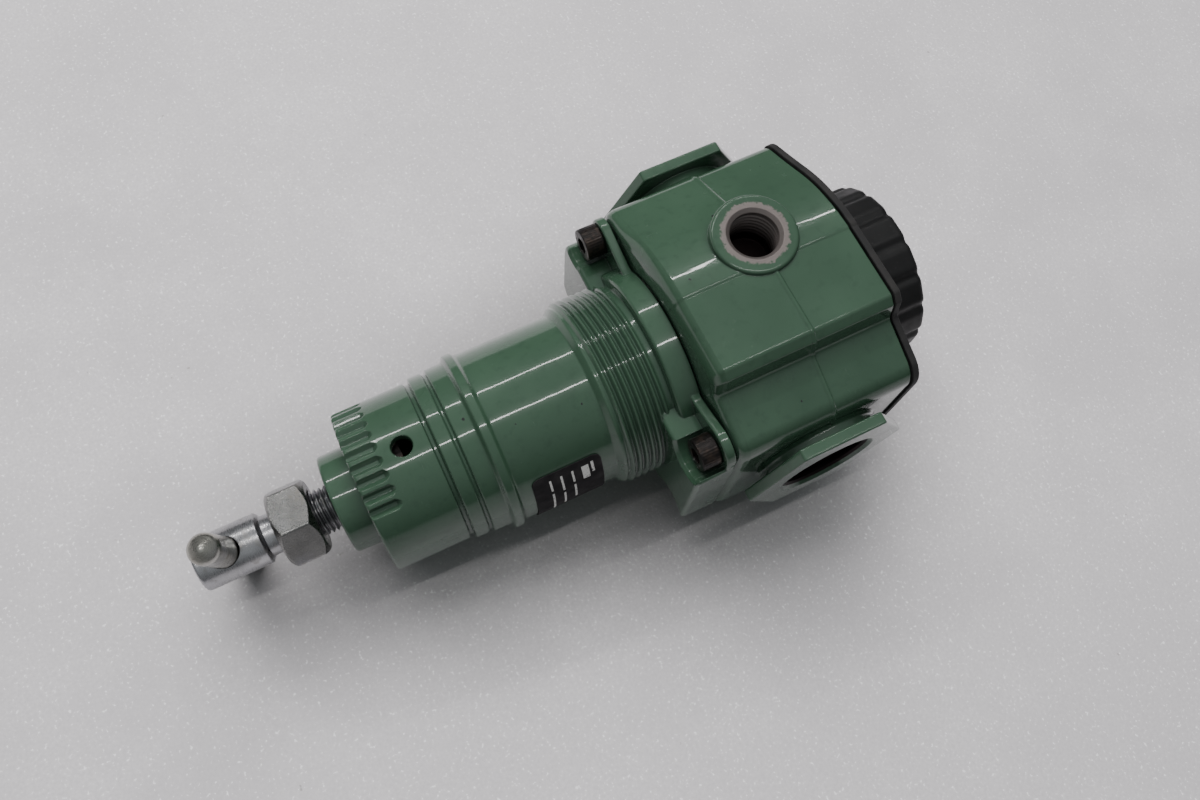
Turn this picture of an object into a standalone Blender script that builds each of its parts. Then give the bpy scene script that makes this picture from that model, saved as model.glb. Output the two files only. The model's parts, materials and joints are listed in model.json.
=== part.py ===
"""Air pressure regulator with a T-bar adjusting screw, in metres, +Z along the adjusting screw.

Pieces are built round the point where the port axis (X) crosses the main axis (Z), and the last
step lifts them all so that the origin is at the middle of the bottom plug's lower face. The
inlet port faces -X, the outlet port faces +X, and the front gauge port faces -Y. Lengths are
written in millimetres and turned into metres by mm().
"""

import math

import bmesh
import bpy
from mathutils import Matrix, Vector

# ---- driving dimensions, in millimetres -------------------------------------------------
STEPS = 40  # faces round a turned piece
GAP = 0.3  # clearance between neighbouring pieces

PORT_FACE_X = 44.5  # port face to main axis
PORT_HEX_AF = 40.0  # across the flats of a port's hexagon
PORT_HEX_THICK = 3.2
PORT_NECK_R = 16.5
PORT_BORE_R = 12.6  # 3/4 inch pipe thread
BODY_TOP = 26.5
BODY_EDGE = 2.2  # rounding of the body's top edge
BODY_BOTTOM = -22.5
BODY_FRONT_Y = 36.0
LOBE_X = 31.5  # bonnet screw positions
LOBE_Y = 18.5
LOBE_R = 6.6
OUTLET_LOBE_R = 5.4  # the lobes are slimmer on the outlet side
GAUGE_X = 8.2
GAUGE_BOSS_R = 11.0
GAUGE_BORE_R = 6.6  # 1/4 inch pipe thread
GAUGE_FACE_Y = 36.9

SEAT_TOP = 3.0
SEAT_BOTTOM = -6.0
SEAT_BORE_R = 7.5
VALVE_CHAMBER_R = 15.0
PLUG_BORE_R = 19.0
OUTLET_CHAMBER_R = 15.0
GUIDE_BOTTOM = 10.0
GUIDE_TOP = 14.0
DIAPHRAGM_CHAMBER_R = 23.8

DIAPHRAGM_RIM_R = 27.0
DIAPHRAGM_THICK = 1.2
OVER_DIAPHRAGM_R = 22.3

RIM_HIGH = BODY_TOP - 0.2  # the diaphragm's rim lies in a recess in the body's top
RIM_LOW = RIM_HIGH - DIAPHRAGM_THICK

BONNET_BOTTOM = BODY_TOP + GAP
BONNET_PLATE_TOP = 29.5
WING_TOP = 37.5
INLET_WING = (17.0, 1.6)  # half width and corner radius
OUTLET_WING = (13.6, 4.0)
WING_EDGE = 1.2
SCREW_POCKET_R = 6.0
COLLAR_R = 27.4
THREAD_R = 25.7  # panel-mounting thread, for a 52 mm hole
THREAD_ROOT_R = 24.7
THREAD_PITCH = 1.95
THREAD_TURNS = 7
THREAD_START = 34.5
CYLINDER_R = 23.2
RIDGE_R = 24.2
CAP_R = 21.4
CAP_TOP = 110.6
BOSS_R = 13.0
CAVITY_TOP = 108.0
BOSS_TOP = 118.0
FLUTE_DEPTH = 1.1
FLUTE_LENGTH = 7.2
FLUTE_COUNT = 13
FLUTE_PITCH_DEG = 10.0
FLUTE_FIRST_DEG = -122.7
VENT_Z = 97.4
VENT_R = 2.5
SPRING_BORE_R = 18.6

SCREW_R = 6.0  # 12 mm fine thread
SCREW_TIP = 103.5
HEAD_R = 6.7
HEAD_BOTTOM = 136.4
HEAD_TOP = 153.9
BAR_Z = 146.4
BAR_R = 3.8
BAR_HALF = 26.0
BAR_TURN_DEG = 10.0
NUT_AF = 19.0
NUT_BOTTOM = 123.3
NUT_TOP = 133.3

CAP_SCREW_HEAD_R = 4.25
CAP_SCREW_HEAD_H = 5.0
CAP_SCREW_R = 2.45
CAP_SCREW_SOCKET_AF = 4.0
CAP_SCREW_SEAT = BONNET_PLATE_TOP

BUTTON_BOTTOM = 98.0  # the adjusting spring lies between the button and the plate
PLATE_TOP = 24.4

GASKET_THICK = 1.7
PLUG_FLANGE_R = 24.4
PLUG_TOP = -14.0
PLUG_FLANGE_TOP = BODY_BOTTOM - 2 * GAP - GASKET_THICK
PLUG_BOTTOM = -41.5
PLUG_LOBES = 16
PLUG_FLOOR = -23.8

POPPET_STEM_R = 2.7
POPPET_STEM_TOP = 17.0
POPPET_GUIDE_R = 5.0

# ---- colours (linear RGB), roughness, metallic ------------------------------------------
MATERIALS = {
    "green_paint": ((0.082, 0.150, 0.105), 0.30, 0.0),
    "zinc_steel": ((0.46, 0.46, 0.44), 0.32, 1.0),
    "black_oxide": ((0.016, 0.015, 0.014), 0.42, 0.6),
    "black_plastic": ((0.013, 0.013, 0.014), 0.45, 0.0),
    "black_rubber": ((0.010, 0.010, 0.010), 0.75, 0.0),
    "spring_steel": ((0.30, 0.30, 0.31), 0.35, 1.0),
    "brass": ((0.60, 0.42, 0.16), 0.30, 1.0),
    "aluminium": ((0.62, 0.63, 0.64), 0.38, 1.0),
    "label_black": ((0.014, 0.014, 0.015), 0.40, 0.0),
}


def mm(value):
    return value * 0.001


def clear_scene():
    for obj in list(bpy.data.objects):
        bpy.data.objects.remove(obj, do_unlink=True)


def new_collection(name, hidden=False):
    group = bpy.data.collections.new(name)
    group.hide_render = hidden
    bpy.context.scene.collection.children.link(group)
    return group


def material(name):
    found = bpy.data.materials.get(name)
    if found:
        return found
    colour, roughness, metallic = MATERIALS[name]
    made = bpy.data.materials.new(name)
    made.use_nodes = True
    shader = made.node_tree.nodes["Principled BSDF"]
    shader.inputs["Base Color"].default_value = (*colour, 1.0)
    shader.inputs["Roughness"].default_value = roughness
    shader.inputs["Metallic"].default_value = metallic
    made.diffuse_color = (*colour, 1.0)
    return made


def add_object(name, mesh, finish=None):
    """Links an object for the mesh: a part when it has a finish, else a cutter."""
    obj = bpy.data.objects.new(name, mesh)
    if finish:
        PARTS.objects.link(obj)
        mesh.materials.append(material(finish))
        mesh.shade_smooth()
        mesh.set_sharp_from_angle(angle=math.radians(32))
    else:
        CUTTERS.objects.link(obj)
        obj.hide_render = True
        obj.display_type = "WIRE"
    return obj


def turned(name, profile, finish=None, steps=STEPS):
    """A piece turned about Z. The profile is (radius, z) pairs, down the outer side."""
    edge = bmesh.new()
    points = [edge.verts.new((mm(radius), 0.0, mm(z))) for radius, z in profile]
    for first, second in zip(points, points[1:]):
        edge.edges.new((first, second))
    if profile[0][0] > 0:
        edge.edges.new((points[-1], points[0]))
    mesh = bpy.data.meshes.new(name)
    edge.to_mesh(mesh)
    edge.free()
    obj = add_object(name, mesh, finish)
    screw = obj.modifiers.new("Turn", "SCREW")
    screw.steps = steps
    screw.render_steps = steps
    screw.use_merge_vertices = True
    screw.merge_threshold = 0.00001
    screw.use_smooth_shade = finish is not None
    return obj


def cylinder(name, radius, low, high, finish=None, sides=32, axis="Z", place=(0, 0, 0)):
    """A cylinder from low to high along an axis through place."""
    mesh = bpy.data.meshes.new(name)
    shape = bmesh.new()
    bmesh.ops.create_cone(
        shape,
        cap_ends=True,
        segments=sides,
        radius1=mm(radius),
        radius2=mm(radius),
        depth=mm(high - low),
    )
    bmesh.ops.translate(shape, verts=shape.verts, vec=(0, 0, mm((high + low) / 2)))
    turn = {
        "Z": Matrix.Identity(3),
        "X": Matrix.Rotation(math.pi / 2, 3, "Y"),
        "-Y": Matrix.Rotation(math.pi / 2, 3, "X"),
    }[axis]
    bmesh.ops.rotate(shape, verts=shape.verts, cent=(0, 0, 0), matrix=turn)
    shape.to_mesh(mesh)
    shape.free()
    obj = add_object(name, mesh, finish)
    obj.location = [mm(value) for value in place]
    return obj


def box(name, low, high):
    """A box cutter between two corners."""
    mesh = bpy.data.meshes.new(name)
    shape = bmesh.new()
    bmesh.ops.create_cube(shape, size=1.0)
    size = [mm(b - a) for a, b in zip(low, high)]
    centre = [mm((a + b) / 2) for a, b in zip(low, high)]
    bmesh.ops.scale(shape, verts=shape.verts, vec=size)
    bmesh.ops.translate(shape, verts=shape.verts, vec=centre)
    shape.to_mesh(mesh)
    shape.free()
    return add_object(name, mesh)


def arc(centre, radius, start_deg, end_deg, count):
    """Points along an arc, in the XY plane."""
    points = []
    for i in range(count + 1):
        angle = math.radians(start_deg + (end_deg - start_deg) * i / count)
        points.append((centre[0] + radius * math.cos(angle), centre[1] + radius * math.sin(angle)))
    return points


def inset(outline, depth):
    """An anticlockwise outline moved inwards by depth, mitred at its corners."""
    moved = []
    for index, (x, y) in enumerate(outline):
        here = Vector((x, y))
        arriving = (here - Vector(outline[index - 1])).normalized()
        leaving = (Vector(outline[(index + 1) % len(outline)]) - here).normalized()
        both = arriving + leaving
        reach = depth / (1.0 + arriving.dot(leaving))
        moved.append((x - both.y * reach, y + both.x * reach))
    return moved


def soft_prism(name, outline, low, high, edge, finish=None):
    """A prism whose top edge is rounded in two steps, for a casting."""
    levels = [
        (low, 0.0),
        (high - edge, 0.0),
        (high - 0.3 * edge, 0.3 * edge),
        (high, edge),
    ]
    shape = bmesh.new()
    rings = []
    for z, depth in levels:
        points = inset(outline, depth)
        rings.append([shape.verts.new((mm(x), mm(y), mm(z))) for x, y in points])
    shape.faces.new(list(reversed(rings[0])))
    shape.faces.new(rings[-1])
    for lower, upper in zip(rings, rings[1:]):
        for index, corner in enumerate(lower):
            before = index - 1
            shape.faces.new((lower[before], corner, upper[index], upper[before]))
    mesh = bpy.data.meshes.new(name)
    shape.to_mesh(mesh)
    shape.free()
    return add_object(name, mesh, finish)


def prism(name, outline, low, high, finish=None):
    """A flat outline in XY carried from low to high along Z, as a closed mesh."""
    curve = bpy.data.curves.new(name, "CURVE")
    curve.dimensions = "2D"
    curve.fill_mode = "BOTH"
    curve.extrude = mm((high - low) / 2)
    spline = curve.splines.new("POLY")
    spline.points.add(len(outline) - 1)
    for point, (x, y) in zip(spline.points, outline):
        point.co = (mm(x), mm(y), 0.0, 1.0)
    spline.use_cyclic_u = True
    guide = bpy.data.objects.new(name + "_outline", curve)
    PARTS.objects.link(guide)
    guide.location.z = mm((low + high) / 2)
    bpy.context.view_layer.update()
    graph = bpy.context.evaluated_depsgraph_get()
    mesh = bpy.data.meshes.new_from_object(guide.evaluated_get(graph))
    mesh.name = name
    shape = bmesh.new()
    shape.from_mesh(mesh)
    bmesh.ops.remove_doubles(shape, verts=shape.verts, dist=0.000001)
    bmesh.ops.recalc_face_normals(shape, faces=shape.faces)
    shape.to_mesh(mesh)
    shape.free()
    mesh.materials.clear()
    obj = add_object(name, mesh, finish)
    obj.matrix_world = guide.matrix_world.copy()
    bpy.data.objects.remove(guide, do_unlink=True)
    bpy.data.curves.remove(curve)
    return obj


def boolean(target, tool, operation):
    step = target.modifiers.new(tool.name, "BOOLEAN")
    step.operation = operation
    step.solver = "EXACT"
    step.object = tool
    return target


def cut(target, *tools):
    for tool in tools:
        boolean(target, tool, "DIFFERENCE")


def join(target, *tools):
    for tool in tools:
        boolean(target, tool, "UNION")


def hexagon(across_flats, turn_deg=0.0):
    radius = across_flats / math.sqrt(3)
    return arc((0, 0), radius, turn_deg, turn_deg + 300, 5)


def coil(name, mean_r, wire_r, low, high, turns, finish, per_turn=12):
    """A compression spring with closed ends, as a bevelled poly curve."""
    curve = bpy.data.curves.new(name, "CURVE")
    curve.dimensions = "3D"
    curve.bevel_depth = mm(wire_r)
    curve.bevel_resolution = 1
    curve.use_fill_caps = True
    spline = curve.splines.new("POLY")
    count = int(turns * per_turn)
    spline.points.add(count)
    dead = 1.0  # closed turns at each end
    lift_dead = 2.15 * wire_r
    active = turns - 2 * dead
    span = high - low - 2 * wire_r - 2 * lift_dead
    for i, point in enumerate(spline.points):
        turn = i / per_turn
        if turn < dead:
            z = lift_dead * turn / dead
        elif turn < turns - dead:
            z = lift_dead + span * (turn - dead) / active
        else:
            z = lift_dead + span + lift_dead * (turn - turns + dead) / dead
        angle = 2 * math.pi * turn
        x, y = mean_r * math.cos(angle), mean_r * math.sin(angle)
        point.co = (mm(x), mm(y), mm(low + wire_r + z), 1.0)
    obj = bpy.data.objects.new(name, curve)
    PARTS.objects.link(obj)
    curve.materials.append(material(finish))
    return obj


# ---- body and its ports -----------------------------------------------------------------
def body_outline(grow=0.0):
    """The casting's section across the main axis, the same in front and behind."""
    front = BODY_FRONT_Y + grow
    slim = OUTLET_LOBE_R + grow
    quarter = [
        (LOBE_X + slim, 0.0),
        *arc((LOBE_X, LOBE_Y), slim, 0, 62, 4),
        (27.0 + grow * 0.4, 26.9 + grow),
        (17.0, front - 3.4),
        (7.5, front - 0.7),
        (0.0, front),
    ]
    left = [
        (-19.6, front),
        (-22.0, front - 2.0),
        (-23.0, 28.6 + grow * 0.6),
        *arc((-LOBE_X, LOBE_Y), LOBE_R + grow, 114, 180, 4),
        (-LOBE_X - LOBE_R - grow, 0.0),
    ]
    upper = quarter + left
    lower = [(x, -y) for x, y in reversed(upper[1:-1])]
    return upper + lower


def port_hexagon(name, side):
    """One port's hexagonal flange, with a corner pointing up the main axis."""
    inner = PORT_FACE_X - PORT_HEX_THICK
    piece = prism(name, hexagon(PORT_HEX_AF), inner, PORT_FACE_X)
    piece.rotation_euler = (0, math.radians(90 * side), 0)
    piece.location = (mm(side * (inner + PORT_FACE_X) / 2), 0, 0)
    return piece


def make_body():
    body = soft_prism("body", body_outline(), BODY_BOTTOM, BODY_TOP, BODY_EDGE, "green_paint")
    for side in (-1, 1):
        label = "inlet" if side < 0 else "outlet"
        neck = cylinder(
            label + "_neck", PORT_NECK_R, -9.0, 9.0, axis="X", place=(side * 35.0, 0, 0)
        )
        join(body, neck, port_hexagon(label + "_hexagon", side))
    for side in (-1, 1):
        face = "front" if side < 0 else "rear"
        boss = cylinder(
            face + "_gauge_boss", GAUGE_BOSS_R, -6.0, 6.0, axis="-Y",
            place=(GAUGE_X, side * (GAUGE_FACE_Y - 6.0), 0),
        )
        join(body, boss)
    plug_bore = cylinder("plug_bore", PLUG_BORE_R, BODY_BOTTOM - 5, -12.0, sides=STEPS)
    valve_chamber = cylinder("valve_chamber", VALVE_CHAMBER_R, -13.0, SEAT_BOTTOM, sides=STEPS)
    seat_bore = cylinder("seat_bore", SEAT_BORE_R, SEAT_BOTTOM - 1, SEAT_TOP + 1)
    outlet_chamber = cylinder("outlet_chamber", OUTLET_CHAMBER_R, SEAT_TOP, GUIDE_BOTTOM)
    guide_bore = cylinder("guide_bore", POPPET_STEM_R + GAP, GUIDE_BOTTOM - 1, GUIDE_TOP + 1)
    sense_hole = cylinder("sense_hole", 1.5, GUIDE_BOTTOM - 1, GUIDE_TOP + 1, place=(9.0, 0, 0))
    diaphragm_chamber = cylinder(
        "diaphragm_chamber", DIAPHRAGM_CHAMBER_R, GUIDE_TOP, BODY_TOP + 5, sides=STEPS
    )
    cut(body, plug_bore, valve_chamber, seat_bore, outlet_chamber, guide_bore, sense_hole)
    rim_recess = cylinder(
        "rim_recess", DIAPHRAGM_RIM_R + GAP, RIM_LOW - GAP, BODY_TOP + 5, sides=STEPS
    )
    cut(body, diaphragm_chamber, rim_recess)
    for side in (-1, 1):
        label = "inlet" if side < 0 else "outlet"
        bore = cylinder(
            label + "_bore", PORT_BORE_R, -15.0, 15.0, axis="X", place=(side * 38.0, 0, 0)
        )
        cut(body, bore)
    cut(body, box("inlet_passage", (-30, -7, -11.5), (-12, 7, SEAT_BOTTOM - 1.0)))
    cut(body, box("outlet_passage", (12, -7, SEAT_TOP + 0.5), (30, 7, 9.0)))
    for side in (-1, 1):
        face = "front" if side < 0 else "rear"
        bore = cylinder(
            face + "_gauge_bore", GAUGE_BORE_R, -10.0, 10.0, axis="-Y",
            place=(GAUGE_X, side * 34.0, 0),
        )
        passage = cylinder(
            face + "_gauge_passage", 2.5, -10.0, 10.0, axis="-Y",
            place=(GAUGE_X, side * 19.0, 6.3), sides=16,
        )
        link = cylinder(
            face + "_gauge_link", 2.5, 0.0, 6.3, place=(GAUGE_X, side * 27.0, 0), sides=16
        )
        cut(body, bore, passage, link)
    for index, (x, y) in enumerate(screw_places(), 1):
        hole = cylinder(
            f"body_screw_hole_{index}", CAP_SCREW_R + GAP, 8.0, BODY_TOP + 1,
            place=(x, y, 0), sides=20,
        )
        cut(body, hole)


def screw_places():
    return [(x, y) for x in (-LOBE_X, LOBE_X) for y in (-LOBE_Y, LOBE_Y)]


# ---- bonnet -----------------------------------------------------------------------------
def thread_profile():
    """The panel thread's grooves as rings, from the top groove down."""
    points = []
    top = THREAD_START + THREAD_TURNS * THREAD_PITCH
    for turn in range(THREAD_TURNS):
        z = top - turn * THREAD_PITCH
        points += [
            (THREAD_R, z - 0.15 * THREAD_PITCH),
            (THREAD_R, z - 0.50 * THREAD_PITCH),
            (THREAD_ROOT_R, z - 0.80 * THREAD_PITCH),
        ]
    return points


def bonnet_outside():
    return [
        (0.0, BOSS_TOP),
        (BOSS_R - 0.8, BOSS_TOP),
        (BOSS_R, BOSS_TOP - 0.8),
        (BOSS_R + 0.2, CAP_TOP + 0.9),
        (BOSS_R + 1.1, CAP_TOP),
        (CAP_R - 1.0, CAP_TOP),
        (CAP_R, CAP_TOP - 1.0),
        (CAP_R + 0.2, 91.2),
        (CAP_R - 0.5, 90.8),
        (CAP_R - 0.5, 90.0),
        (CAP_R + 0.9, 89.6),
        (CAP_R + 0.9, 86.2),
        (CAP_R + 0.5, 85.8),
        (CAP_R + 0.5, 85.2),
        (CAP_R + 1.2, 84.8),
        (CAP_R + 1.3, 80.4),
        (RIDGE_R, 79.2),
        (RIDGE_R, 77.4),
        (CYLINDER_R, 76.4),
        (CYLINDER_R, 50.2),
        (THREAD_ROOT_R, 49.2),
        *thread_profile(),
        (THREAD_ROOT_R, 33.6),
        (COLLAR_R - 0.8, 33.2),
        (COLLAR_R, 32.2),
        (COLLAR_R + 0.4, BONNET_BOTTOM),
        (0.0, BONNET_BOTTOM),
    ]


def bonnet_inside():
    """The threaded hole, the spring chamber and the space over the diaphragm."""
    hole_r = SCREW_R + GAP
    return [
        (0.0, BOSS_TOP + 1.0),
        (hole_r, BOSS_TOP + 1.0),
        (hole_r, CAVITY_TOP),
        (SPRING_BORE_R - 3.0, CAVITY_TOP),
        (SPRING_BORE_R - 0.4, 103.0),
        (SPRING_BORE_R, 88.0),
        (SPRING_BORE_R + 1.6, 84.0),
        (SPRING_BORE_R + 1.6, 34.0),
        (OVER_DIAPHRAGM_R, 31.0),
        (OVER_DIAPHRAGM_R, BONNET_BOTTOM - 1.0),
        (0.0, BONNET_BOTTOM - 1.0),
    ]


def bonnet_plate_outline():
    """The bolted foot of the bonnet, with a lobe under each screw."""
    slim, wide = OUTLET_LOBE_R - 0.4, LOBE_R - 0.4
    upper = [
        (LOBE_X + slim, 0.0),
        *arc((LOBE_X, LOBE_Y), slim, 0, 100, 5),
        (20.0, 21.0),
        (0.0, 21.0),
        (-20.0, 21.0),
        *arc((-LOBE_X, LOBE_Y), wide, 80, 180, 5),
        (-LOBE_X - wide, 0.0),
    ]
    lower = [(x, -y) for x, y in reversed(upper[1:-1])]
    return upper + lower


def wing_outline(side):
    """The raised block between two screws, from the collar out to the bonnet's side."""
    half_y, corner = OUTLET_WING if side > 0 else INLET_WING
    end_x = LOBE_X + (OUTLET_LOBE_R if side > 0 else LOBE_R)
    upper = arc((end_x - corner, half_y - corner), corner, 0, 90, 4) + [(18.0, half_y)]
    lower = [(x, -y) for x, y in reversed(upper)]
    outline = upper + lower
    return outline if side > 0 else [(-x, y) for x, y in reversed(outline)]


def grip_flute(name, angle_deg):
    """A cutter for one groove of the cap's grip, which runs out at its lower end."""
    levels = [
        (CAP_TOP - FLUTE_LENGTH - 1.0, FLUTE_DEPTH + 0.2),
        (CAP_TOP - FLUTE_LENGTH + 0.4, 0.0),
        (CAP_TOP + 2.0, 0.0),
    ]
    floor, outside = CAP_R - FLUTE_DEPTH, CAP_R + 0.8
    shape = bmesh.new()
    rings = []
    for z, lift in levels:
        corners = [
            (floor + lift, -0.5),
            (outside + lift, -2.1),
            (outside + lift, 2.1),
            (floor + lift, 0.5),
        ]
        rings.append([shape.verts.new((mm(x), mm(y), mm(z))) for x, y in corners])
    shape.faces.new(list(reversed(rings[0])))
    shape.faces.new(rings[-1])
    for lower, upper in zip(rings, rings[1:]):
        for index, corner in enumerate(lower):
            before = index - 1
            shape.faces.new((lower[before], corner, upper[index], upper[before]))
    mesh = bpy.data.meshes.new(name)
    shape.to_mesh(mesh)
    shape.free()
    flute = add_object(name, mesh)
    flute.rotation_euler.z = math.radians(angle_deg)
    return flute


def make_bonnet():
    bonnet = turned("bonnet", bonnet_outside(), "green_paint")
    plate = prism("bonnet_plate", bonnet_plate_outline(), BONNET_BOTTOM + 0.2, BONNET_PLATE_TOP)
    join(bonnet, plate)
    for side, name in ((-1, "inlet_wing"), (1, "outlet_wing")):
        wing = soft_prism(name, wing_outline(side), BONNET_BOTTOM + 0.4, WING_TOP, WING_EDGE)
        for end in (-1, 1):
            pocket = cylinder(
                f"{name}_pocket_{end + 2}", SCREW_POCKET_R, BODY_BOTTOM, WING_TOP + 5.0,
                place=(side * LOBE_X, end * LOBE_Y, 0),
            )
            cut(wing, pocket)
        join(bonnet, wing)
    for index, (x, y) in enumerate(screw_places(), 1):
        hole = cylinder(
            f"bonnet_screw_hole_{index}", CAP_SCREW_R + GAP, BODY_TOP - 5.0, WING_TOP,
            place=(x, y, 0), sides=20,
        )
        cut(bonnet, hole)
    cut(bonnet, turned("bonnet_cavity", bonnet_inside()))
    for index in range(FLUTE_COUNT):
        cut(bonnet, grip_flute(f"flute_{index}", FLUTE_FIRST_DEG + FLUTE_PITCH_DEG * index))
    vent = cylinder("vent", VENT_R, -6.0, 6.0, axis="-Y", place=(0, -CAP_R, VENT_Z), sides=20)
    cut(bonnet, vent)


# ---- fasteners --------------------------------------------------------------------------
def make_bonnet_screws():
    top = CAP_SCREW_SEAT + GAP + CAP_SCREW_HEAD_H
    seat = CAP_SCREW_SEAT + GAP
    profile = [
        (0.0, top),
        (CAP_SCREW_HEAD_R - 0.5, top),
        (CAP_SCREW_HEAD_R, top - 0.5),
        (CAP_SCREW_HEAD_R, seat),
        (CAP_SCREW_R, seat),
        (CAP_SCREW_R, 11.0),
        (CAP_SCREW_R - 0.6, 10.2),
        (0.0, 10.2),
    ]
    for index, (x, y) in enumerate(screw_places(), 1):
        screw = turned(f"bonnet_screw_{index}", profile, "black_oxide", steps=24)
        screw.location = (mm(x), mm(y), 0)
        socket = prism(
            f"screw_socket_{index}", hexagon(CAP_SCREW_SOCKET_AF, 15.0), top - 2.6, top + 1.0
        )
        socket.location.x = mm(x)
        socket.location.y = mm(y)
        cut(screw, socket)


# ---- adjusting screw, T-bar and lock nut ------------------------------------------------
def make_adjusting_screw():
    profile = [
        (0.0, HEAD_TOP),
        (HEAD_R - 0.7, HEAD_TOP),
        (HEAD_R, HEAD_TOP - 0.7),
        (HEAD_R, HEAD_BOTTOM + 0.9),
        (HEAD_R - 1.4, HEAD_BOTTOM),
        (SCREW_R - 0.6, HEAD_BOTTOM - 1.2),
        (SCREW_R - 0.6, HEAD_BOTTOM - 2.4),
        (SCREW_R, HEAD_BOTTOM - 3.0),
        (SCREW_R, SCREW_TIP + 2.4),
        (SCREW_R - 1.6, SCREW_TIP + 0.8),
        (SCREW_R - 2.6, SCREW_TIP),
        (0.0, SCREW_TIP),
    ]
    screw = turned("adjusting_screw", profile, "zinc_steel", steps=32)
    hole = cylinder(
        "bar_hole", BAR_R + GAP, -12, 12, axis="-Y", place=(0, 0, BAR_Z), sides=24
    )
    hole.rotation_euler.z = math.radians(-BAR_TURN_DEG)
    cut(screw, hole)
    return screw


def make_t_bar(screw):
    profile = [
        (0.0, BAR_HALF),
        (1.2, BAR_HALF - 0.3),
        (BAR_R, BAR_HALF - 2.8),
        (BAR_R, -BAR_HALF + 2.8),
        (1.2, -BAR_HALF + 0.3),
        (0.0, -BAR_HALF),
    ]
    bar = turned("t_bar", profile, "zinc_steel", steps=24)
    bar.rotation_euler = (math.radians(90), 0, math.radians(-BAR_TURN_DEG))
    bar.location.z = mm(BAR_Z)
    bar.parent = screw


def make_lock_nut(screw):
    nut = prism("lock_nut", hexagon(NUT_AF, 6.0), NUT_BOTTOM, NUT_TOP, "zinc_steel")
    corner = NUT_AF / math.sqrt(3)
    chamfer = turned(
        "nut_chamfer",
        [
            (0.0, NUT_TOP + 1.0),
            (NUT_AF / 2 - 1.3, NUT_TOP + 0.6),
            (corner + 0.6, NUT_TOP - 1.6),
            (corner + 0.6, NUT_BOTTOM + 1.6),
            (NUT_AF / 2 - 1.3, NUT_BOTTOM - 0.6),
            (0.0, NUT_BOTTOM - 1.0),
        ],
    )
    boolean(nut, chamfer, "INTERSECT")
    cut(nut, cylinder("nut_bore", SCREW_R + GAP, NUT_BOTTOM - 1, NUT_TOP + 1))
    nut.parent = screw


# ---- range spring and its seats ---------------------------------------------------------
def make_spring_button():
    profile = [
        (0.0, SCREW_TIP - GAP),
        (4.4, SCREW_TIP - GAP),
        (5.4, SCREW_TIP + 0.8),
        (8.6, SCREW_TIP + 0.8),
        (9.6, SCREW_TIP - 0.6),
        (11.5, 100.4),
        (17.4, 100.0),
        (17.4, BUTTON_BOTTOM),
        (12.2, BUTTON_BOTTOM),
        (11.4, 96.4),
        (0.0, 96.4),
    ]
    turned("spring_button", profile, "black_oxide", steps=32)


def make_range_spring():
    low, high = PLATE_TOP + GAP, BUTTON_BOTTOM - GAP
    coil("range_spring", 14.4, 1.6, low, high, 9.5, "spring_steel")


# ---- diaphragm and its plates -----------------------------------------------------------
def make_diaphragm():
    low = 21.0
    high = low + DIAPHRAGM_THICK
    profile = [
        (3.9, high),
        (19.0, high),
        (21.2, RIM_HIGH - 0.6),
        (22.0, RIM_HIGH),
        (DIAPHRAGM_RIM_R, RIM_HIGH),
        (DIAPHRAGM_RIM_R, RIM_LOW),
        (22.4, RIM_LOW),
        (19.8, low),
        (3.9, low),
    ]
    turned("diaphragm", profile, "black_rubber", steps=36)


def make_diaphragm_plates():
    upper = [
        (3.9, PLATE_TOP),
        (16.8, PLATE_TOP),
        (17.6, PLATE_TOP - 0.8),
        (17.6, 22.5),
        (3.9, 22.5),
    ]
    turned("diaphragm_plate", upper, "zinc_steel", steps=32)
    washer = [(3.9, 20.7), (16.5, 20.7), (17.0, 20.2), (17.0, 19.2), (3.9, 19.2)]
    turned("diaphragm_washer", washer, "aluminium", steps=32)
    seat = [
        (1.2, 31.4),
        (3.0, 31.4),
        (3.6, 30.8),
        (3.6, 18.9),
        (6.4, 18.9),
        (6.4, 17.3),
        (1.2, 17.3),
    ]
    turned("relief_seat", seat, "brass", steps=24)
    nut = prism("diaphragm_nut", hexagon(12.0), 24.7, 28.8, "brass")
    cut(nut, cylinder("diaphragm_nut_bore", 3.6 + GAP, 22.0, 32.0, sides=24))


# ---- main valve -------------------------------------------------------------------------
def make_valve():
    stem = [
        (0.0, POPPET_STEM_TOP),
        (1.0, POPPET_STEM_TOP - 0.2),
        (POPPET_STEM_R, POPPET_STEM_TOP - 2.2),
        (POPPET_STEM_R, -8.7),
        (9.6, -8.7),
        (10.4, -9.2),
        (10.4, -12.4),
        (POPPET_GUIDE_R, -13.2),
        (POPPET_GUIDE_R, -26.6),
        (POPPET_GUIDE_R - 1.1, -26.6),
        (POPPET_GUIDE_R - 1.1, -28.6),
        (POPPET_GUIDE_R, -28.6),
        (POPPET_GUIDE_R, -31.0),
        (POPPET_GUIDE_R - 0.8, -31.8),
        (0.0, -31.8),
    ]
    turned("valve_poppet", stem, "brass", steps=32)
    seal = [
        (POPPET_STEM_R + GAP, -6.3),
        (9.4, -6.3),
        (9.8, -6.7),
        (9.8, -8.4),
        (POPPET_STEM_R + GAP, -8.4),
    ]
    turned("valve_seal", seal, "black_rubber", steps=32)
    coil("valve_spring", 8.6, 0.7, PLUG_FLOOR + GAP, -12.8, 4.5, "spring_steel", per_turn=12)
    ring("valve_o_ring", POPPET_GUIDE_R - 0.35, 0.45, -27.6)


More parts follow.
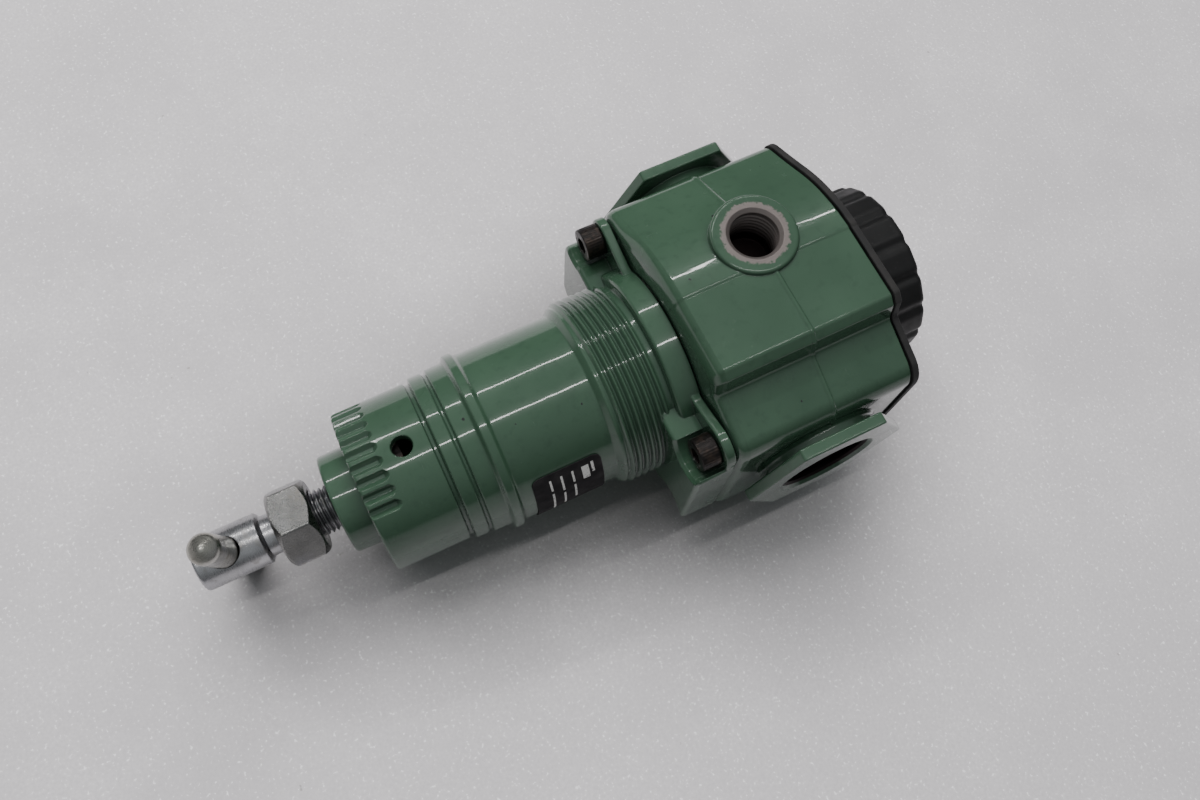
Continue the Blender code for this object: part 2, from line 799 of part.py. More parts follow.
def ring(name, mean_r, wire_r, z):
    """An O-ring."""
    bpy.ops.mesh.primitive_torus_add(
        major_radius=mm(mean_r),
        minor_radius=mm(wire_r),
        major_segments=28,
        minor_segments=6,
        location=(0, 0, mm(z)),
    )
    torus = bpy.context.object
    torus.name = name
    for group in list(torus.users_collection):
        group.objects.unlink(torus)
    PARTS.objects.link(torus)
    torus.data.materials.append(material("black_rubber"))
    torus.data.shade_smooth()


# ---- bottom gasket and plug -------------------------------------------------------------
def make_bottom():
    low = PLUG_FLANGE_TOP + GAP
    gasket = prism("bottom_gasket", body_outline(0.5), low, low + GASKET_THICK, "black_rubber")
    cut(gasket, cylinder("gasket_bore", PLUG_BORE_R, -30, -20, sides=STEPS))
    wall_r = PLUG_BORE_R - GAP
    outer = [
        (13.0, PLUG_TOP),
        (wall_r - 0.8, PLUG_TOP),
        (wall_r, PLUG_TOP - 0.8),
        (wall_r, -16.2),
        (wall_r - 1.6, -16.2),
        (wall_r - 1.6, -18.2),
        (wall_r, -18.2),
        (wall_r, PLUG_FLANGE_TOP),
        (PLUG_FLANGE_R - 0.5, PLUG_FLANGE_TOP),
        (PLUG_FLANGE_R, PLUG_FLANGE_TOP - 0.5),
        (PLUG_FLANGE_R, PLUG_BOTTOM + 1.5),
        (PLUG_FLANGE_R - 1.5, PLUG_BOTTOM),
        (0.0, PLUG_BOTTOM),
        (0.0, -35.0),
        (POPPET_GUIDE_R + GAP, -35.0),
        (POPPET_GUIDE_R + GAP, PLUG_FLOOR),
        (13.0, PLUG_FLOOR),
    ]
    start = outer.index((0.0, -35.0))
    profile = outer[start:] + outer[:start]
    plug = turned("bottom_plug", profile, "black_plastic")
    for index in range(PLUG_LOBES):
        angle = 2 * math.pi * (index + 0.5) / PLUG_LOBES
        reach = PLUG_FLANGE_R + 3.4
        cutter = cylinder(
            f"grip_flute_{index}", 4.4, PLUG_BOTTOM - 1, PLUG_FLANGE_TOP - 2.5, sides=14,
            place=(reach * math.cos(angle), reach * math.sin(angle), 0),
        )
        cut(plug, cutter)
    ring("plug_o_ring", wall_r - 0.62, 0.75, -17.2)


# ---- rear gauge plug and label ----------------------------------------------------------
def make_gauge_plug():
    plug = cylinder(
        "rear_gauge_plug", GAUGE_BORE_R - GAP, -4.0, 4.0, "brass", axis="-Y",
        place=(GAUGE_X, GAUGE_FACE_Y - 4.8, 0),
    )
    socket = prism("gauge_plug_socket", hexagon(6.35), -2.5, 2.5)
    socket.rotation_euler.x = math.radians(90)
    socket.location = (mm(GAUGE_X), mm(GAUGE_FACE_Y), 0)
    cut(plug, socket)


def make_label():
    """A thin plate wrapped round the smooth cylinder, on the inlet side."""
    inner = CYLINDER_R + 0.15
    outer = inner + 0.25
    first, last = -145.0, -222.0
    rim = arc((0, 0), outer, first, last, 16) + arc((0, 0), inner, last, first, 16)
    prism("label", rim, 54.5, 73.0, "label_black")


clear_scene()
PARTS = new_collection("air_pressure_regulator")
CUTTERS = new_collection("cutters", hidden=True)

make_body()
make_bonnet()
make_bonnet_screws()
adjusting_screw = make_adjusting_screw()
make_t_bar(adjusting_screw)
make_lock_nut(adjusting_screw)
make_spring_button()
make_range_spring()
make_diaphragm()
make_diaphragm_plates()
make_valve()
make_bottom()
make_gauge_plug()
make_label()

for built in list(PARTS.objects) + list(CUTTERS.objects):
    if built.parent is None:
        built.location.z -= mm(PLUG_BOTTOM)
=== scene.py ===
"""Looks for the air pressure regulator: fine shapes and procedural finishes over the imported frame.

Lengths in this file are millimetres unless a name says otherwise. +Z runs along the adjusting
screw, +X out of the outlet and -Y out of the front gauge port. Heights are counted from the
port axis, and LIFT carries every finished piece up to the frame's origin.
"""

import json
import math

import bmesh
import bpy
from mathutils import Matrix, Vector


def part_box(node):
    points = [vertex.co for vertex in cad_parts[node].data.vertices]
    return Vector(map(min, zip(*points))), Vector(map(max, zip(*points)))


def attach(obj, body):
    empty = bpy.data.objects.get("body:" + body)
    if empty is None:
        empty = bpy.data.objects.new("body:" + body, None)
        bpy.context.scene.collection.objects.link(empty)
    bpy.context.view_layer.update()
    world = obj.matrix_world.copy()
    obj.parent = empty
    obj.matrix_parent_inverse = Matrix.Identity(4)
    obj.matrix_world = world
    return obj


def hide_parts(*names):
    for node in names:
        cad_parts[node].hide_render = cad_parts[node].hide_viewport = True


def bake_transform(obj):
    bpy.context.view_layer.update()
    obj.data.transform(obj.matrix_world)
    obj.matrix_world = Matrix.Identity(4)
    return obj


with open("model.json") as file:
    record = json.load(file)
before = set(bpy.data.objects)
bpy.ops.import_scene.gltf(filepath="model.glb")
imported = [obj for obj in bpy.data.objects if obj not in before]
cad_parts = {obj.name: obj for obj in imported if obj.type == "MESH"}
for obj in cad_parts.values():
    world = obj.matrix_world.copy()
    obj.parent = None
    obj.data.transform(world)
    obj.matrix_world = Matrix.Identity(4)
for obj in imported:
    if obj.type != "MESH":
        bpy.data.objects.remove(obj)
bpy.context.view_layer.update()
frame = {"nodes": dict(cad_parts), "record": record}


PORTS = next(m for m in frame["record"]["mounts"] if m["name"] == "inlet_face")
LIFT = Vector((0.0, 0.0, PORTS["pos_m"][2] * 1000.0))  # from the port axis to the frame's origin


def low(node):
    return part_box(node)[0] * 1000.0 - LIFT


def high(node):
    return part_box(node)[1] * 1000.0 - LIFT


# ---- sizes read from the frame ----------------------------------------------------------
PORT_FACE = high("body").x
GAUGE_FACE = high("body").y
BODY_TOP = high("body").z
BONNET_LOW = low("bonnet").z
BOSS_TOP = high("bonnet").z
SCREW_TIP = low("adjusting_screw").z
HEAD_TOP = high("adjusting_screw").z
HEAD_R = high("adjusting_screw").x
BAR_Z = (low("t_bar").z + high("t_bar").z) / 2
BAR_R = (high("t_bar").z - low("t_bar").z) / 2
NUT_LOW = low("lock_nut").z
NUT_HIGH = high("lock_nut").z
CAP_SCREW_TOP = high("bonnet_screw_1").z
CAP_SCREW_LOW = low("bonnet_screw_1").z
LOBE_X = abs(low("bonnet_screw_1").x + high("bonnet_screw_1").x) / 2
LOBE_Y = abs(low("bonnet_screw_1").y + high("bonnet_screw_1").y) / 2
CAP_SCREW_R = (high("bonnet_screw_1").x - low("bonnet_screw_1").x) / 2
PLUG_LOW = low("bottom_plug").z
PLUG_HIGH = high("bottom_plug").z
PLUG_R = high("bottom_plug").x
GASKET_LOW = low("bottom_gasket").z
GASKET_HIGH = high("bottom_gasket").z
LABEL_LOW = low("label").z
LABEL_HIGH = high("label").z
GAUGE_X = (low("rear_gauge_plug").x + high("rear_gauge_plug").x) / 2
GAUGE_BORE_R = (high("rear_gauge_plug").x - low("rear_gauge_plug").x) / 2 + 0.3

# ---- shape sizes ------------------------------------------------------------------------
ROUND = 160  # faces round a turned piece
BODY_LOW = GASKET_HIGH + 0.3
BODY_EDGE = 2.6
LOBE_R = 6.6
SLIM_LOBE_R = 5.4  # on the outlet side
FRONT_RIM = 2.6  # how much further the top rim leans back over the front and rear panels
BODY_FRONT = 36.0
HEX_AF = 40.0
HEX_THICK = 3.2
NECK_R = 16.5
PORT_BORE_R = 12.6
BOSS_R = 11.0
BODY_CAVITY = [
    (0.0, 32.0),
    (27.3, 32.0),
    (27.3, BODY_TOP - 1.7),
    (23.8, BODY_TOP - 1.7),
    (23.8, 14.0),
    (3.0, 14.0),
    (3.0, 10.0),
    (15.0, 10.0),
    (15.0, 3.0),
    (7.5, 3.0),
    (7.5, -6.0),
    (15.0, -6.0),
    (15.0, -12.0),
    (19.0, -12.0),
    (19.0, -28.0),
    (0.0, -28.0),
]

PLATE_TOP = 29.5
WING_TOP = 37.5
INLET_WING = (17.0, 1.6)  # half width and corner radius
OUTLET_WING = (13.6, 4.2)
POCKET_R = 6.0
COLLAR_R = 27.4
THREAD_TOP = 49.2
THREAD_LOW = 34.2
THREAD_PITCH = 1.95
THREAD_R = 25.7
THREAD_ROOT = 24.7
BARREL_R = 23.2
RIDGE_R = 24.2
CAP_R = 21.4
CAP_TOP = 110.6
BONNET_BOSS_R = 13.0
VENT_Z = 97.4
VENT_R = 2.5
FLUTES = 13
FLUTE_PITCH = 10.0
FLUTE_FIRST = -122.7
FLUTE_DEPTH = 1.15
FLUTE_LOW = 103.2
NUT_AF = 19.0
SCREW_R = 6.0
SCREW_ROOT = 5.2
SCREW_PITCH = 1.25
CAVITY_TOP = 108.0
SPRING_BORE_R = 18.6
BAR_TURN = math.radians(-10.0)


def mm(value):
    return value * 0.001


# ---- mesh helpers -----------------------------------------------------------------------
def round_corners(points, closed=False, steps=4):
    """Rounds each corner that carries a third value, its radius."""
    made = []
    count = len(points)
    for index, point in enumerate(points):
        here = Vector(point[:2])
        radius = point[2] if len(point) > 2 else 0.0
        if radius <= 0 or (not closed and index in (0, count - 1)):
            made.append((here.x, here.y))
            continue
        back = Vector(points[index - 1][:2]) - here
        ahead = Vector(points[(index + 1) % count][:2]) - here
        half = max(back.angle(ahead) / 2, 0.05)
        reach = min(radius / math.tan(half), 0.48 * back.length, 0.48 * ahead.length)
        start = here + back.normalized() * reach
        end = here + ahead.normalized() * reach
        for step in range(steps + 1):
            t = step / steps
            spot = start * (1 - t) ** 2 + here * (2 * t * (1 - t)) + end * t**2
            made.append((spot.x, spot.y))
    return made


def inset(points, depth):
    """An anticlockwise outline moved inwards by depth. Corner radii are kept."""
    moved = []
    for index, point in enumerate(points):
        here = Vector(point[:2])
        arriving = (here - Vector(points[index - 1][:2])).normalized()
        leaving = (Vector(points[(index + 1) % len(points)][:2]) - here).normalized()
        both = arriving + leaving
        reach = depth / (1.0 + arriving.dot(leaving))
        moved.append((here.x - both.y * reach, here.y + both.x * reach, *point[2:]))
    return moved


def arc(centre, radius, start_deg, end_deg, count):
    made = []
    for step in range(count + 1):
        angle = math.radians(start_deg + (end_deg - start_deg) * step / count)
        made.append((centre[0] + radius * math.cos(angle), centre[1] + radius * math.sin(angle)))
    return made


def chaikin(points, rounds=2):
    """Smooths an open line by cutting its corners, keeping its ends."""
    for _ in range(rounds):
        made = [points[0]]
        for first, second in zip(points, points[1:]):
            made.append(tuple(0.75 * a + 0.25 * b for a, b in zip(first, second)))
            made.append(tuple(0.25 * a + 0.75 * b for a, b in zip(first, second)))
        made.append(points[-1])
        points = made
    return points


def stack(shape, outline, levels, steps=4, lean=None):
    """A closed solid through one outline at several heights, each inset by its own depth."""
    rings = []
    for z, depth in levels:
        ring = round_corners(inset(outline, depth), closed=True, steps=steps)
        if lean:
            ring = [lean(x, y, z) for x, y in ring]
        rings.append([shape.verts.new((mm(x), mm(y), mm(z))) for x, y in ring])
    shape.faces.new(list(reversed(rings[0])))
    shape.faces.new(rings[-1])
    for lower, upper in zip(rings, rings[1:]):
        for index, corner in enumerate(lower):
            back = index - 1
            shape.faces.new((lower[back], corner, upper[index], upper[back]))


def hexagon_corners(across, first_deg, fillet):
    """A hexagon's corners, from its width across the flats, each with its fillet radius."""
    corner = across / math.sqrt(3)
    angles = [math.radians(60 * k + first_deg) for k in range(6)]
    return [(corner * math.cos(angle), corner * math.sin(angle), fillet) for angle in angles]


def rounded_levels(bottom, top, bottom_edge, top_edge, steps=4):
    """Heights and insets of a prism with rounded bottom and top edges."""
    levels = []
    for step in range(steps + 1):
        angle = math.pi / 2 * (1 - step / steps)
        inset = bottom_edge * (1 - math.cos(angle))
        levels.append((bottom + bottom_edge * (1 - math.sin(angle)), inset))
    for step in range(steps + 1):
        angle = math.pi / 2 * step / steps
        levels.append((top - top_edge * (1 - math.sin(angle)), top_edge * (1 - math.cos(angle))))
    return levels


def revolve(shape, profile, around=ROUND, wave=None, closed=False):
    """Turns (radius, z) points about Z. The profile runs down the outer side."""
    rings = []
    for radius, z in profile:
        if radius <= 0:
            rings.append([shape.verts.new((0, 0, mm(z)))])
            continue
        ring = []
        for step in range(around):
            angle = 2 * math.pi * step / around
            reach = wave(radius, z, angle) if wave else radius
            ring.append(
                shape.verts.new((mm(reach * math.cos(angle)), mm(reach * math.sin(angle)), mm(z)))
            )
        rings.append(ring)
    pairs = list(zip(rings, rings[1:]))
    if closed:
        pairs.append((rings[-1], rings[0]))
    for upper, lower in pairs:
        for step in range(around):
            ahead = (step + 1) % around
            if len(upper) == 1 and len(lower) == 1:
                break
            if len(upper) == 1:
                shape.faces.new((upper[0], lower[step], lower[ahead]))
            elif len(lower) == 1:
                shape.faces.new((upper[step], lower[0], upper[ahead]))
            else:
                shape.faces.new((upper[step], lower[step], lower[ahead], upper[ahead]))


def thread(shape, bottom, top, pitch, root, crest, around=ROUND, rows=8, flat=0.18, fade=0.6):
    """A helical thread between two heights, fading to its root at each end."""
    columns = []
    count = (math.ceil((top - bottom) / pitch) + 3) * rows
    for step in range(around):
        angle = 2 * math.pi * step / around
        column = []
        for row in range(count + 1):
            z = bottom - pitch + pitch * (row / rows + step / around)
            z = min(max(z, bottom), top)
            turn = (z / pitch - step / around) % 1.0
            slope = abs(turn - 0.5) * 2
            lift = min(max((1 - slope - flat) / (1 - 2 * flat), 0.0), 1.0)
            ends = min((z - bottom) / (fade * pitch), (top - z) / (fade * pitch), 1.0)
            reach = root + (crest - root) * lift * max(ends, 0.0)
            column.append(
                shape.verts.new((mm(reach * math.cos(angle)), mm(reach * math.sin(angle)), mm(z)))
            )
        columns.append(column)
    for step in range(around):
        here = columns[step]
        last = step == around - 1
        there = columns[0] if last else columns[step + 1]
        skip = rows if last else 0
        for row in range(count - skip):
            corners = (here[row], there[row + skip], there[row + skip + 1], here[row + 1])
            shape.faces.new(corners)


def settle(shape):
    """Merges coincident points, drops collapsed faces and turns all faces outwards."""
    bmesh.ops.remove_doubles(shape, verts=shape.verts, dist=0.0000002)
    bmesh.ops.dissolve_degenerate(shape, edges=shape.edges, dist=0.00000001)
    bmesh.ops.recalc_face_normals(shape, faces=shape.faces)


def loose(name, shape, matrix=None):
    """A helper object from a bmesh, not yet part of the object."""
    settle(shape)
    mesh = bpy.data.meshes.new(name)
    shape.to_mesh(mesh)
    shape.free()
    if matrix:
        mesh.transform(matrix)
    obj = bpy.data.objects.new(name, mesh)
    bpy.context.scene.collection.objects.link(obj)
    return obj


def solid(name, profile, matrix=None, around=ROUND, wave=None, closed=False):
    shape = bmesh.new()
    revolve(shape, profile, around, wave, closed)
    return loose(name, shape, matrix)


def carve(obj, steps):
    """Applies (operation, helper) Booleans in order and removes the helpers."""
    for operation, helper in steps:
        modifier = obj.modifiers.new(helper.name, "BOOLEAN")
        modifier.operation = operation
        modifier.solver = "EXACT"
        modifier.object = helper
    bpy.context.view_layer.update()
    graph = bpy.context.evaluated_depsgraph_get()
    mesh = bpy.data.meshes.new_from_object(obj.evaluated_get(graph))
    obj.modifiers.clear()
    old = obj.data
    obj.data = mesh
    bpy.data.meshes.remove(old)
    for _, helper in steps:
        bpy.data.objects.remove(helper, do_unlink=True)


def dress(obj, look, body, slot, *nodes, sharp=33.0):
    """Finishes a piece: its material, its shading, the body it rides and the nodes it replaces."""
    mesh = obj.data
    mesh.transform(move(*LIFT))
    mesh.materials.clear()
    mesh.materials.append(look)
    mesh.shade_smooth()
    mesh.set_sharp_from_angle(angle=math.radians(sharp))
    weigh = obj.modifiers.new("Weighted normals", "WEIGHTED_NORMAL")
    weigh.keep_sharp = True
    weigh.weight = 80
    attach(obj, body)
    if nodes:
        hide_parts(*nodes)
    return obj


def along_x(side):
    """Turns +Z to point out of a port."""
    return Matrix.Rotation(math.radians(90.0 * side), 4, "Y")


def along_y(side):
    """Turns +Z to point out of a gauge port."""
    return Matrix.Rotation(math.radians(-90.0 * side), 4, "X")


def move(x, y, z):
    return Matrix.Translation((mm(x), mm(y), mm(z)))


# ---- materials --------------------------------------------------------------------------
class Look:
    """A procedural material: a Principled shader with nodes added by short calls."""

    def __init__(self, name, colour, rough, metal=0.0, **extra):
        self.material = bpy.data.materials.new(name)
        self.material.use_nodes = True
        self.tree = self.material.node_tree
        self.shader = self.tree.nodes["Principled BSDF"]
        self.shader.inputs["Base Color"].default_value = (*colour, 1.0)
        self.shader.inputs["Roughness"].default_value = rough
        self.shader.inputs["Metallic"].default_value = metal
        for key, value in extra.items():
            self.shader.inputs[key.replace("_", " ")].default_value = value
        origin = self.node("ShaderNodeVectorMath", operation="SUBTRACT")
        self.link(self.node("ShaderNodeTexCoord").outputs["Object"], origin.inputs[0])
        origin.inputs[1].default_value = LIFT * 0.001
        self.place = origin.outputs[0]

    def node(self, kind, **settings):
        made = self.tree.nodes.new(kind)
        for key, value in settings.items():
            setattr(made, key, value)
        return made

    def link(self, source, target):
        self.tree.links.new(source, target)

    def feed(self, target, value):
        if isinstance(value, (int, float)):
            target.default_value = value
        elif isinstance(value, tuple):
            target.default_value = (*value, 1.0) if len(value) == 3 else value
        else:
            self.link(value, target)

    def stretched(self, scale, turn=(0.0, 0.0, 0.0)):
        mapping = self.node("ShaderNodeMapping")
        mapping.inputs["Scale"].default_value = scale
        mapping.inputs["Rotation"].default_value = turn
        self.link(self.place, mapping.inputs["Vector"])
        return mapping.outputs["Vector"]

    def noise(self, scale, detail=3.0, rough=0.5, vector=None):
        made = self.node("ShaderNodeTexNoise")
        made.inputs["Scale"].default_value = scale
        made.inputs["Detail"].default_value = detail
        made.inputs["Roughness"].default_value = rough
        self.link(vector or self.place, made.inputs["Vector"])
        return made.outputs["Fac"]

    def span(self, value, from_low, from_high, to_low=0.0, to_high=1.0):
        made = self.node("ShaderNodeMapRange", clamp=True)
        self.feed(made.inputs["Value"], value)
        made.inputs["From Min"].default_value = from_low
        made.inputs["From Max"].default_value = from_high
        made.inputs["To Min"].default_value = to_low
        made.inputs["To Max"].default_value = to_high
        return made.outputs["Result"]

    def patches(self, scale, detail, from_low, from_high, to_low=0.0, to_high=1.0):
        return self.span(self.noise(scale, detail), from_low, from_high, to_low, to_high)

    def math(self, operation, first, second=0.0, third=0.0):
        made = self.node("ShaderNodeMath", operation=operation)
        self.feed(made.inputs[0], first)
        self.feed(made.inputs[1], second)
        self.feed(made.inputs[2], third)
        return made.outputs[0]

    def mix(self, amount, first, second):
        made = self.node("ShaderNodeMix", data_type="RGBA")
        self.feed(made.inputs[0], amount)
        self.feed(made.inputs[6], first)
        self.feed(made.inputs[7], second)
        return made.outputs[2]

    def axes(self):
        made = self.node("ShaderNodeSeparateXYZ")
        self.link(self.place, made.inputs[0])
        return made.outputs

    def length(self, a, b):
        squares = [self.math("POWER", part, 2.0) for part in (a, b)]
        return self.math("SQRT", self.math("ADD", *squares))

    def crevice(self, distance):
        made = self.node("ShaderNodeAmbientOcclusion", samples=8)
        made.inputs["Distance"].default_value = mm(distance)
        return made.outputs["AO"]

    def bump(self, height, strength, distance, under=None):
        made = self.node("ShaderNodeBump")
        made.inputs["Strength"].default_value = strength
        made.inputs["Distance"].default_value = mm(distance)
        self.link(height, made.inputs["Height"])
        if under is not None:
            self.link(under, made.inputs["Normal"])
        return made.outputs["Normal"]

    def soft_edges(self, radius):
        made = self.node("ShaderNodeBevel", samples=6)
        made.inputs["Radius"].default_value = mm(radius)
        return made.outputs["Normal"]

    def set(self, key, value):
        self.feed(self.shader.inputs[key], value)


GREEN = (0.026, 0.057, 0.034)
GREEN_LIGHT = (0.033, 0.070, 0.042)
GREEN_DARK = (0.017, 0.040, 0.024)
BARE_ALUMINIUM = (0.19, 0.165, 0.155)


def machined_mask(look):
    """Near 1 on the bare ring round a gauge port and inside every bore of the casting."""
    x, y, z = look.axes()
    aside = look.math("SUBTRACT", x, mm(GAUGE_X))
    gauge = look.length(aside, z)
    ragged = look.math("MULTIPLY_ADD", look.noise(620.0, 4.0, 0.7), mm(3.0), mm(-1.5))
    ring = look.span(look.math("ADD", gauge, ragged), mm(8.7), mm(8.2))
    depth = look.math("ABSOLUTE", y)
    ring = look.math("MULTIPLY", ring, look.math("GREATER_THAN", depth, mm(20.0)))
    port = look.length(y, z)
    bore = look.math("LESS_THAN", port, mm(PORT_BORE_R + 0.15))
    outer = look.math("ABSOLUTE", x)
    bore = look.math("MULTIPLY", bore, look.math("GREATER_THAN", outer, mm(20.0)))
    bore = look.math("MULTIPLY", bore, look.math("LESS_THAN", depth, mm(PORT_BORE_R + 0.15)))
    return look.math("MAXIMUM", ring, bore)


def green_paint(name, machined=False):
    look = Look(name, GREEN, 0.26, Coat_Weight=0.75, Coat_Roughness=0.035)
    look.shader.inputs["Specular IOR Level"].default_value = 0.15
    cloud = look.noise(45.0, 4.0)
    colour = look.mix(look.span(cloud, 0.35, 0.7), GREEN, GREEN_LIGHT)
    colour = look.mix(look.patches(420.0, 2.0, 0.55, 0.75, 0.0, 0.35), colour, GREEN_DARK)
    scuff = look.noise(60.0, 6.0, 0.7, look.stretched((1.0, 6.0, 22.0)))
    colour = look.mix(look.span(scuff, 0.68, 0.76, 0.0, 0.25), colour, (0.16, 0.22, 0.18))
    speck = look.patches(520.0, 1.0, 0.80, 0.815)
    colour = look.mix(speck, colour, (0.012, 0.014, 0.013))
    # painted shade: the paint darkens towards a deep green where ambient occlusion finds crevices
    # and recesses
    painted_shade = look.span(look.crevice(2.4), 0.45, 0.95, 0.55, 0.0)
    colour = look.mix(painted_shade, colour, (0.020, 0.034, 0.026))
    rough = look.patches(130.0, 4.0, 0.3, 0.75, 0.16, 0.30)
    metal = 0.0
    coat = 0.75
    if machined:
        mask = machined_mask(look)
        grain = look.patches(1600.0, 3.0, 0.3, 0.7)
        bare = look.mix(grain, (0.20, 0.18, 0.17), BARE_ALUMINIUM)
        # painted shade: the bare metal darkens to near black where ambient occlusion finds it
        # enclosed
        bore_shade = look.span(look.crevice(5.0), 0.15, 0.85, 0.9, 0.0)
        bare = look.mix(bore_shade, bare, (0.035, 0.022, 0.020))
        # painted shade: the bare metal in the gauge bore darkens the deeper it lies below the face
        depth = look.math("ABSOLUTE", look.axes()[1])
        depth = look.span(depth, mm(GAUGE_FACE - 4.5), mm(GAUGE_FACE - 11.0))
        bare = look.mix(depth, bare, (0.012, 0.008, 0.008))
        colour = look.mix(mask, colour, bare)
        rough = look.math("ADD", rough, look.math("MULTIPLY", mask, 0.22))
        metal = look.math("MULTIPLY", mask, 0.75)
        coat = look.span(mask, 0.0, 1.0, 0.75, 0.0)
    else:
        # painted shade: within the spring bore, below the cavity top, the paint turns near black and
        # loses its coat
        x, y, z = look.axes()
        reach = look.length(x, y)
        inside = look.math("LESS_THAN", reach, mm(SPRING_BORE_R + 0.7))
        inside = look.math("MULTIPLY", inside, look.math("LESS_THAN", z, mm(CAVITY_TOP + 0.2)))
        colour = look.mix(inside, colour, (0.004, 0.005, 0.004))
        coat = look.span(inside, 0.0, 1.0, 0.75, 0.0)
    look.set("Base Color", colour)
    look.set("Roughness", rough)
    look.set("Metallic", metal)
    look.set("Coat Weight", coat)
    soft = look.soft_edges(0.45)
    waves = look.bump(look.noise(110.0, 2.0), 0.25, 0.22, soft)
    peel = look.bump(look.noise(900.0, 2.0), 0.12, 0.05, waves)
    look.set("Normal", peel)
    look.shader.inputs["Coat Normal"].default_value = (0, 0, 0)
    look.link(waves, look.shader.inputs["Coat Normal"])
    return look.material


def zinc(name, tint, streak=(1.0, 1.0, 14.0)):
    look = Look(name, tint, 0.3, 1.0)
    cloud = look.noise(160.0, 4.0)
    colour = look.mix(look.span(cloud, 0.35, 0.7), tint, tuple(c * 0.70 for c in tint))
    tarnish = look.patches(70.0, 3.0, 0.5, 0.75, 0.0, 0.4)
    colour = look.mix(tarnish, colour, (0.50, 0.50, 0.58))
    stain = look.patches(380.0, 4.0, 0.60, 0.74, 0.0, 0.55)
    colour = look.mix(stain, colour, (0.20, 0.18, 0.15))
    # painted shade: the plating darkens where ambient occlusion finds crevices
    painted_shade = look.span(look.crevice(1.2), 0.35, 0.9, 0.75, 0.0)
    colour = look.mix(painted_shade, colour, (0.035, 0.033, 0.035))
    look.set("Base Color", colour)
    grain = look.noise(700.0, 3.0, 0.6, look.stretched(streak))
    rough = look.span(grain, 0.3, 0.7, 0.20, 0.38)
    look.set("Roughness", look.math("ADD", rough, look.math("MULTIPLY", stain, 0.2)))
    soft = look.soft_edges(0.25)
    look.set("Normal", look.bump(grain, 0.25, 0.04, look.bump(cloud, 0.2, 0.08, soft)))
    return look.material


def black_steel(name):
    look = Look(name, (0.018, 0.016, 0.015), 0.36, 0.85)
    stain = look.noise(420.0, 4.0)
    colour = look.mix(look.span(stain, 0.45, 0.7), (0.022, 0.020, 0.019), (0.055, 0.040, 0.032))
    look.set("Base Color", colour)
    look.set("Roughness", look.patches(900.0, 3.0, 0.3, 0.7, 0.26, 0.5))
    look.set("Normal", look.bump(stain, 0.3, 0.05, look.soft_edges(0.2)))
    return look.material


def black_plastic(name):
    look = Look(name, (0.004, 0.004, 0.004), 0.42, Specular_IOR_Level=0.3)
    cloud = look.noise(90.0, 4.0)
    colour = look.mix(look.span(cloud, 0.35, 0.7), (0.003, 0.003, 0.003), (0.007, 0.007, 0.007))
    dust = look.patches(1300.0, 3.0, 0.66, 0.74, 0.0, 0.4)
    colour = look.mix(dust, colour, (0.040, 0.039, 0.038))
    look.set("Base Color", colour)
    look.set("Roughness", look.patches(300.0, 3.0, 0.3, 0.7, 0.34, 0.55))
    grain = look.bump(look.noise(1800.0, 2.0), 0.25, 0.05, look.soft_edges(0.4))
    look.set("Normal", grain)
    return look.material


def rubber(name):
    look = Look(name, (0.010, 0.010, 0.010), 0.7)
    bloom = look.noise(200.0, 4.0)
    pale = look.span(bloom, 0.4, 0.75)
    look.set("Base Color", look.mix(pale, (0.008, 0.008, 0.008), (0.022, 0.021, 0.020)))
    look.set("Roughness", look.span(bloom, 0.3, 0.7, 0.6, 0.82))
    look.set("Normal", look.bump(look.noise(1500.0, 3.0), 0.3, 0.06))
    return look.material


def turned_metal(name, tint, rough=0.28):
    look = Look(name, tint, rough, 1.0)
    lathe = look.noise(60.0, 3.0, 0.6, look.stretched((1.0, 1.0, 40.0)))
    colour = look.mix(look.span(lathe, 0.35, 0.7), tint, tuple(c * 0.78 for c in tint))
    # painted shade: the metal darkens to a fraction of its tint where ambient occlusion finds
    # crevices
    painted_shade = look.span(look.crevice(1.5), 0.4, 0.95, 0.6, 0.0)
    look.set("Base Color", look.mix(painted_shade, colour, tuple(c * 0.15 for c in tint)))
    look.set("Roughness", look.span(lathe, 0.3, 0.7, rough * 0.8, rough * 1.4))
    look.set("Normal", look.bump(lathe, 0.3, 0.05))
    return look.material


def label_print(name):
    """A black film with plain pale bars where the printed lines are."""
    look = Look(name, (0.016, 0.015, 0.016), 0.6, Specular_IOR_Level=0.06)
    x, y, z = look.axes()
    angle = look.math("ARCTAN2", y, x)
    angle = look.math("MODULO", look.math("ADD", angle, 2 * math.pi), 2 * math.pi)
    bars = None
    for z_mid, half, first, last in LABEL_BARS:
        tall = look.math("COMPARE", z, mm(z_mid), mm(half))
        begins = look.math("LESS_THAN", angle, math.radians(first + 360.0))
        ends = look.math("GREATER_THAN", angle, math.radians(last + 360.0))
        bar = look.math("MULTIPLY", tall, look.math("MULTIPLY", begins, ends))
        bars = bar if bars is None else look.math("MAXIMUM", bars, bar)
    worn = look.patches(1500.0, 3.0, 0.30, 0.42)
    cloud = look.patches(250.0, 3.0, 0.4, 0.7)
    colour = look.mix(cloud, (0.014, 0.013, 0.014), (0.026, 0.024, 0.025))
    colour = look.mix(look.math("MULTIPLY", bars, worn), colour, (0.52, 0.52, 0.50))
    look.set("Base Color", colour)
    look.set("Roughness", look.patches(400.0, 3.0, 0.3, 0.7, 0.55, 0.75))
    look.set("Normal", look.bump(look.noise(500.0, 2.0), 0.08, 0.05))
    return look.material


# z, half height, first and last angle in degrees of each pale bar
LABEL_BARS = [
    (57.0, 0.35, -149.0, -158.0),
    (59.0, 0.95, -150.0, -161.5),
    (62.4, 0.28, -150.0, -160.0),
    (62.4, 0.28, -163.0, -181.0),
    (65.4, 0.28, -150.0, -164.0),
    (65.4, 0.28, -167.0, -186.0),
    (68.4, 0.28, -150.0, -160.0),
    (68.4, 0.28, -163.0, -192.0),
]

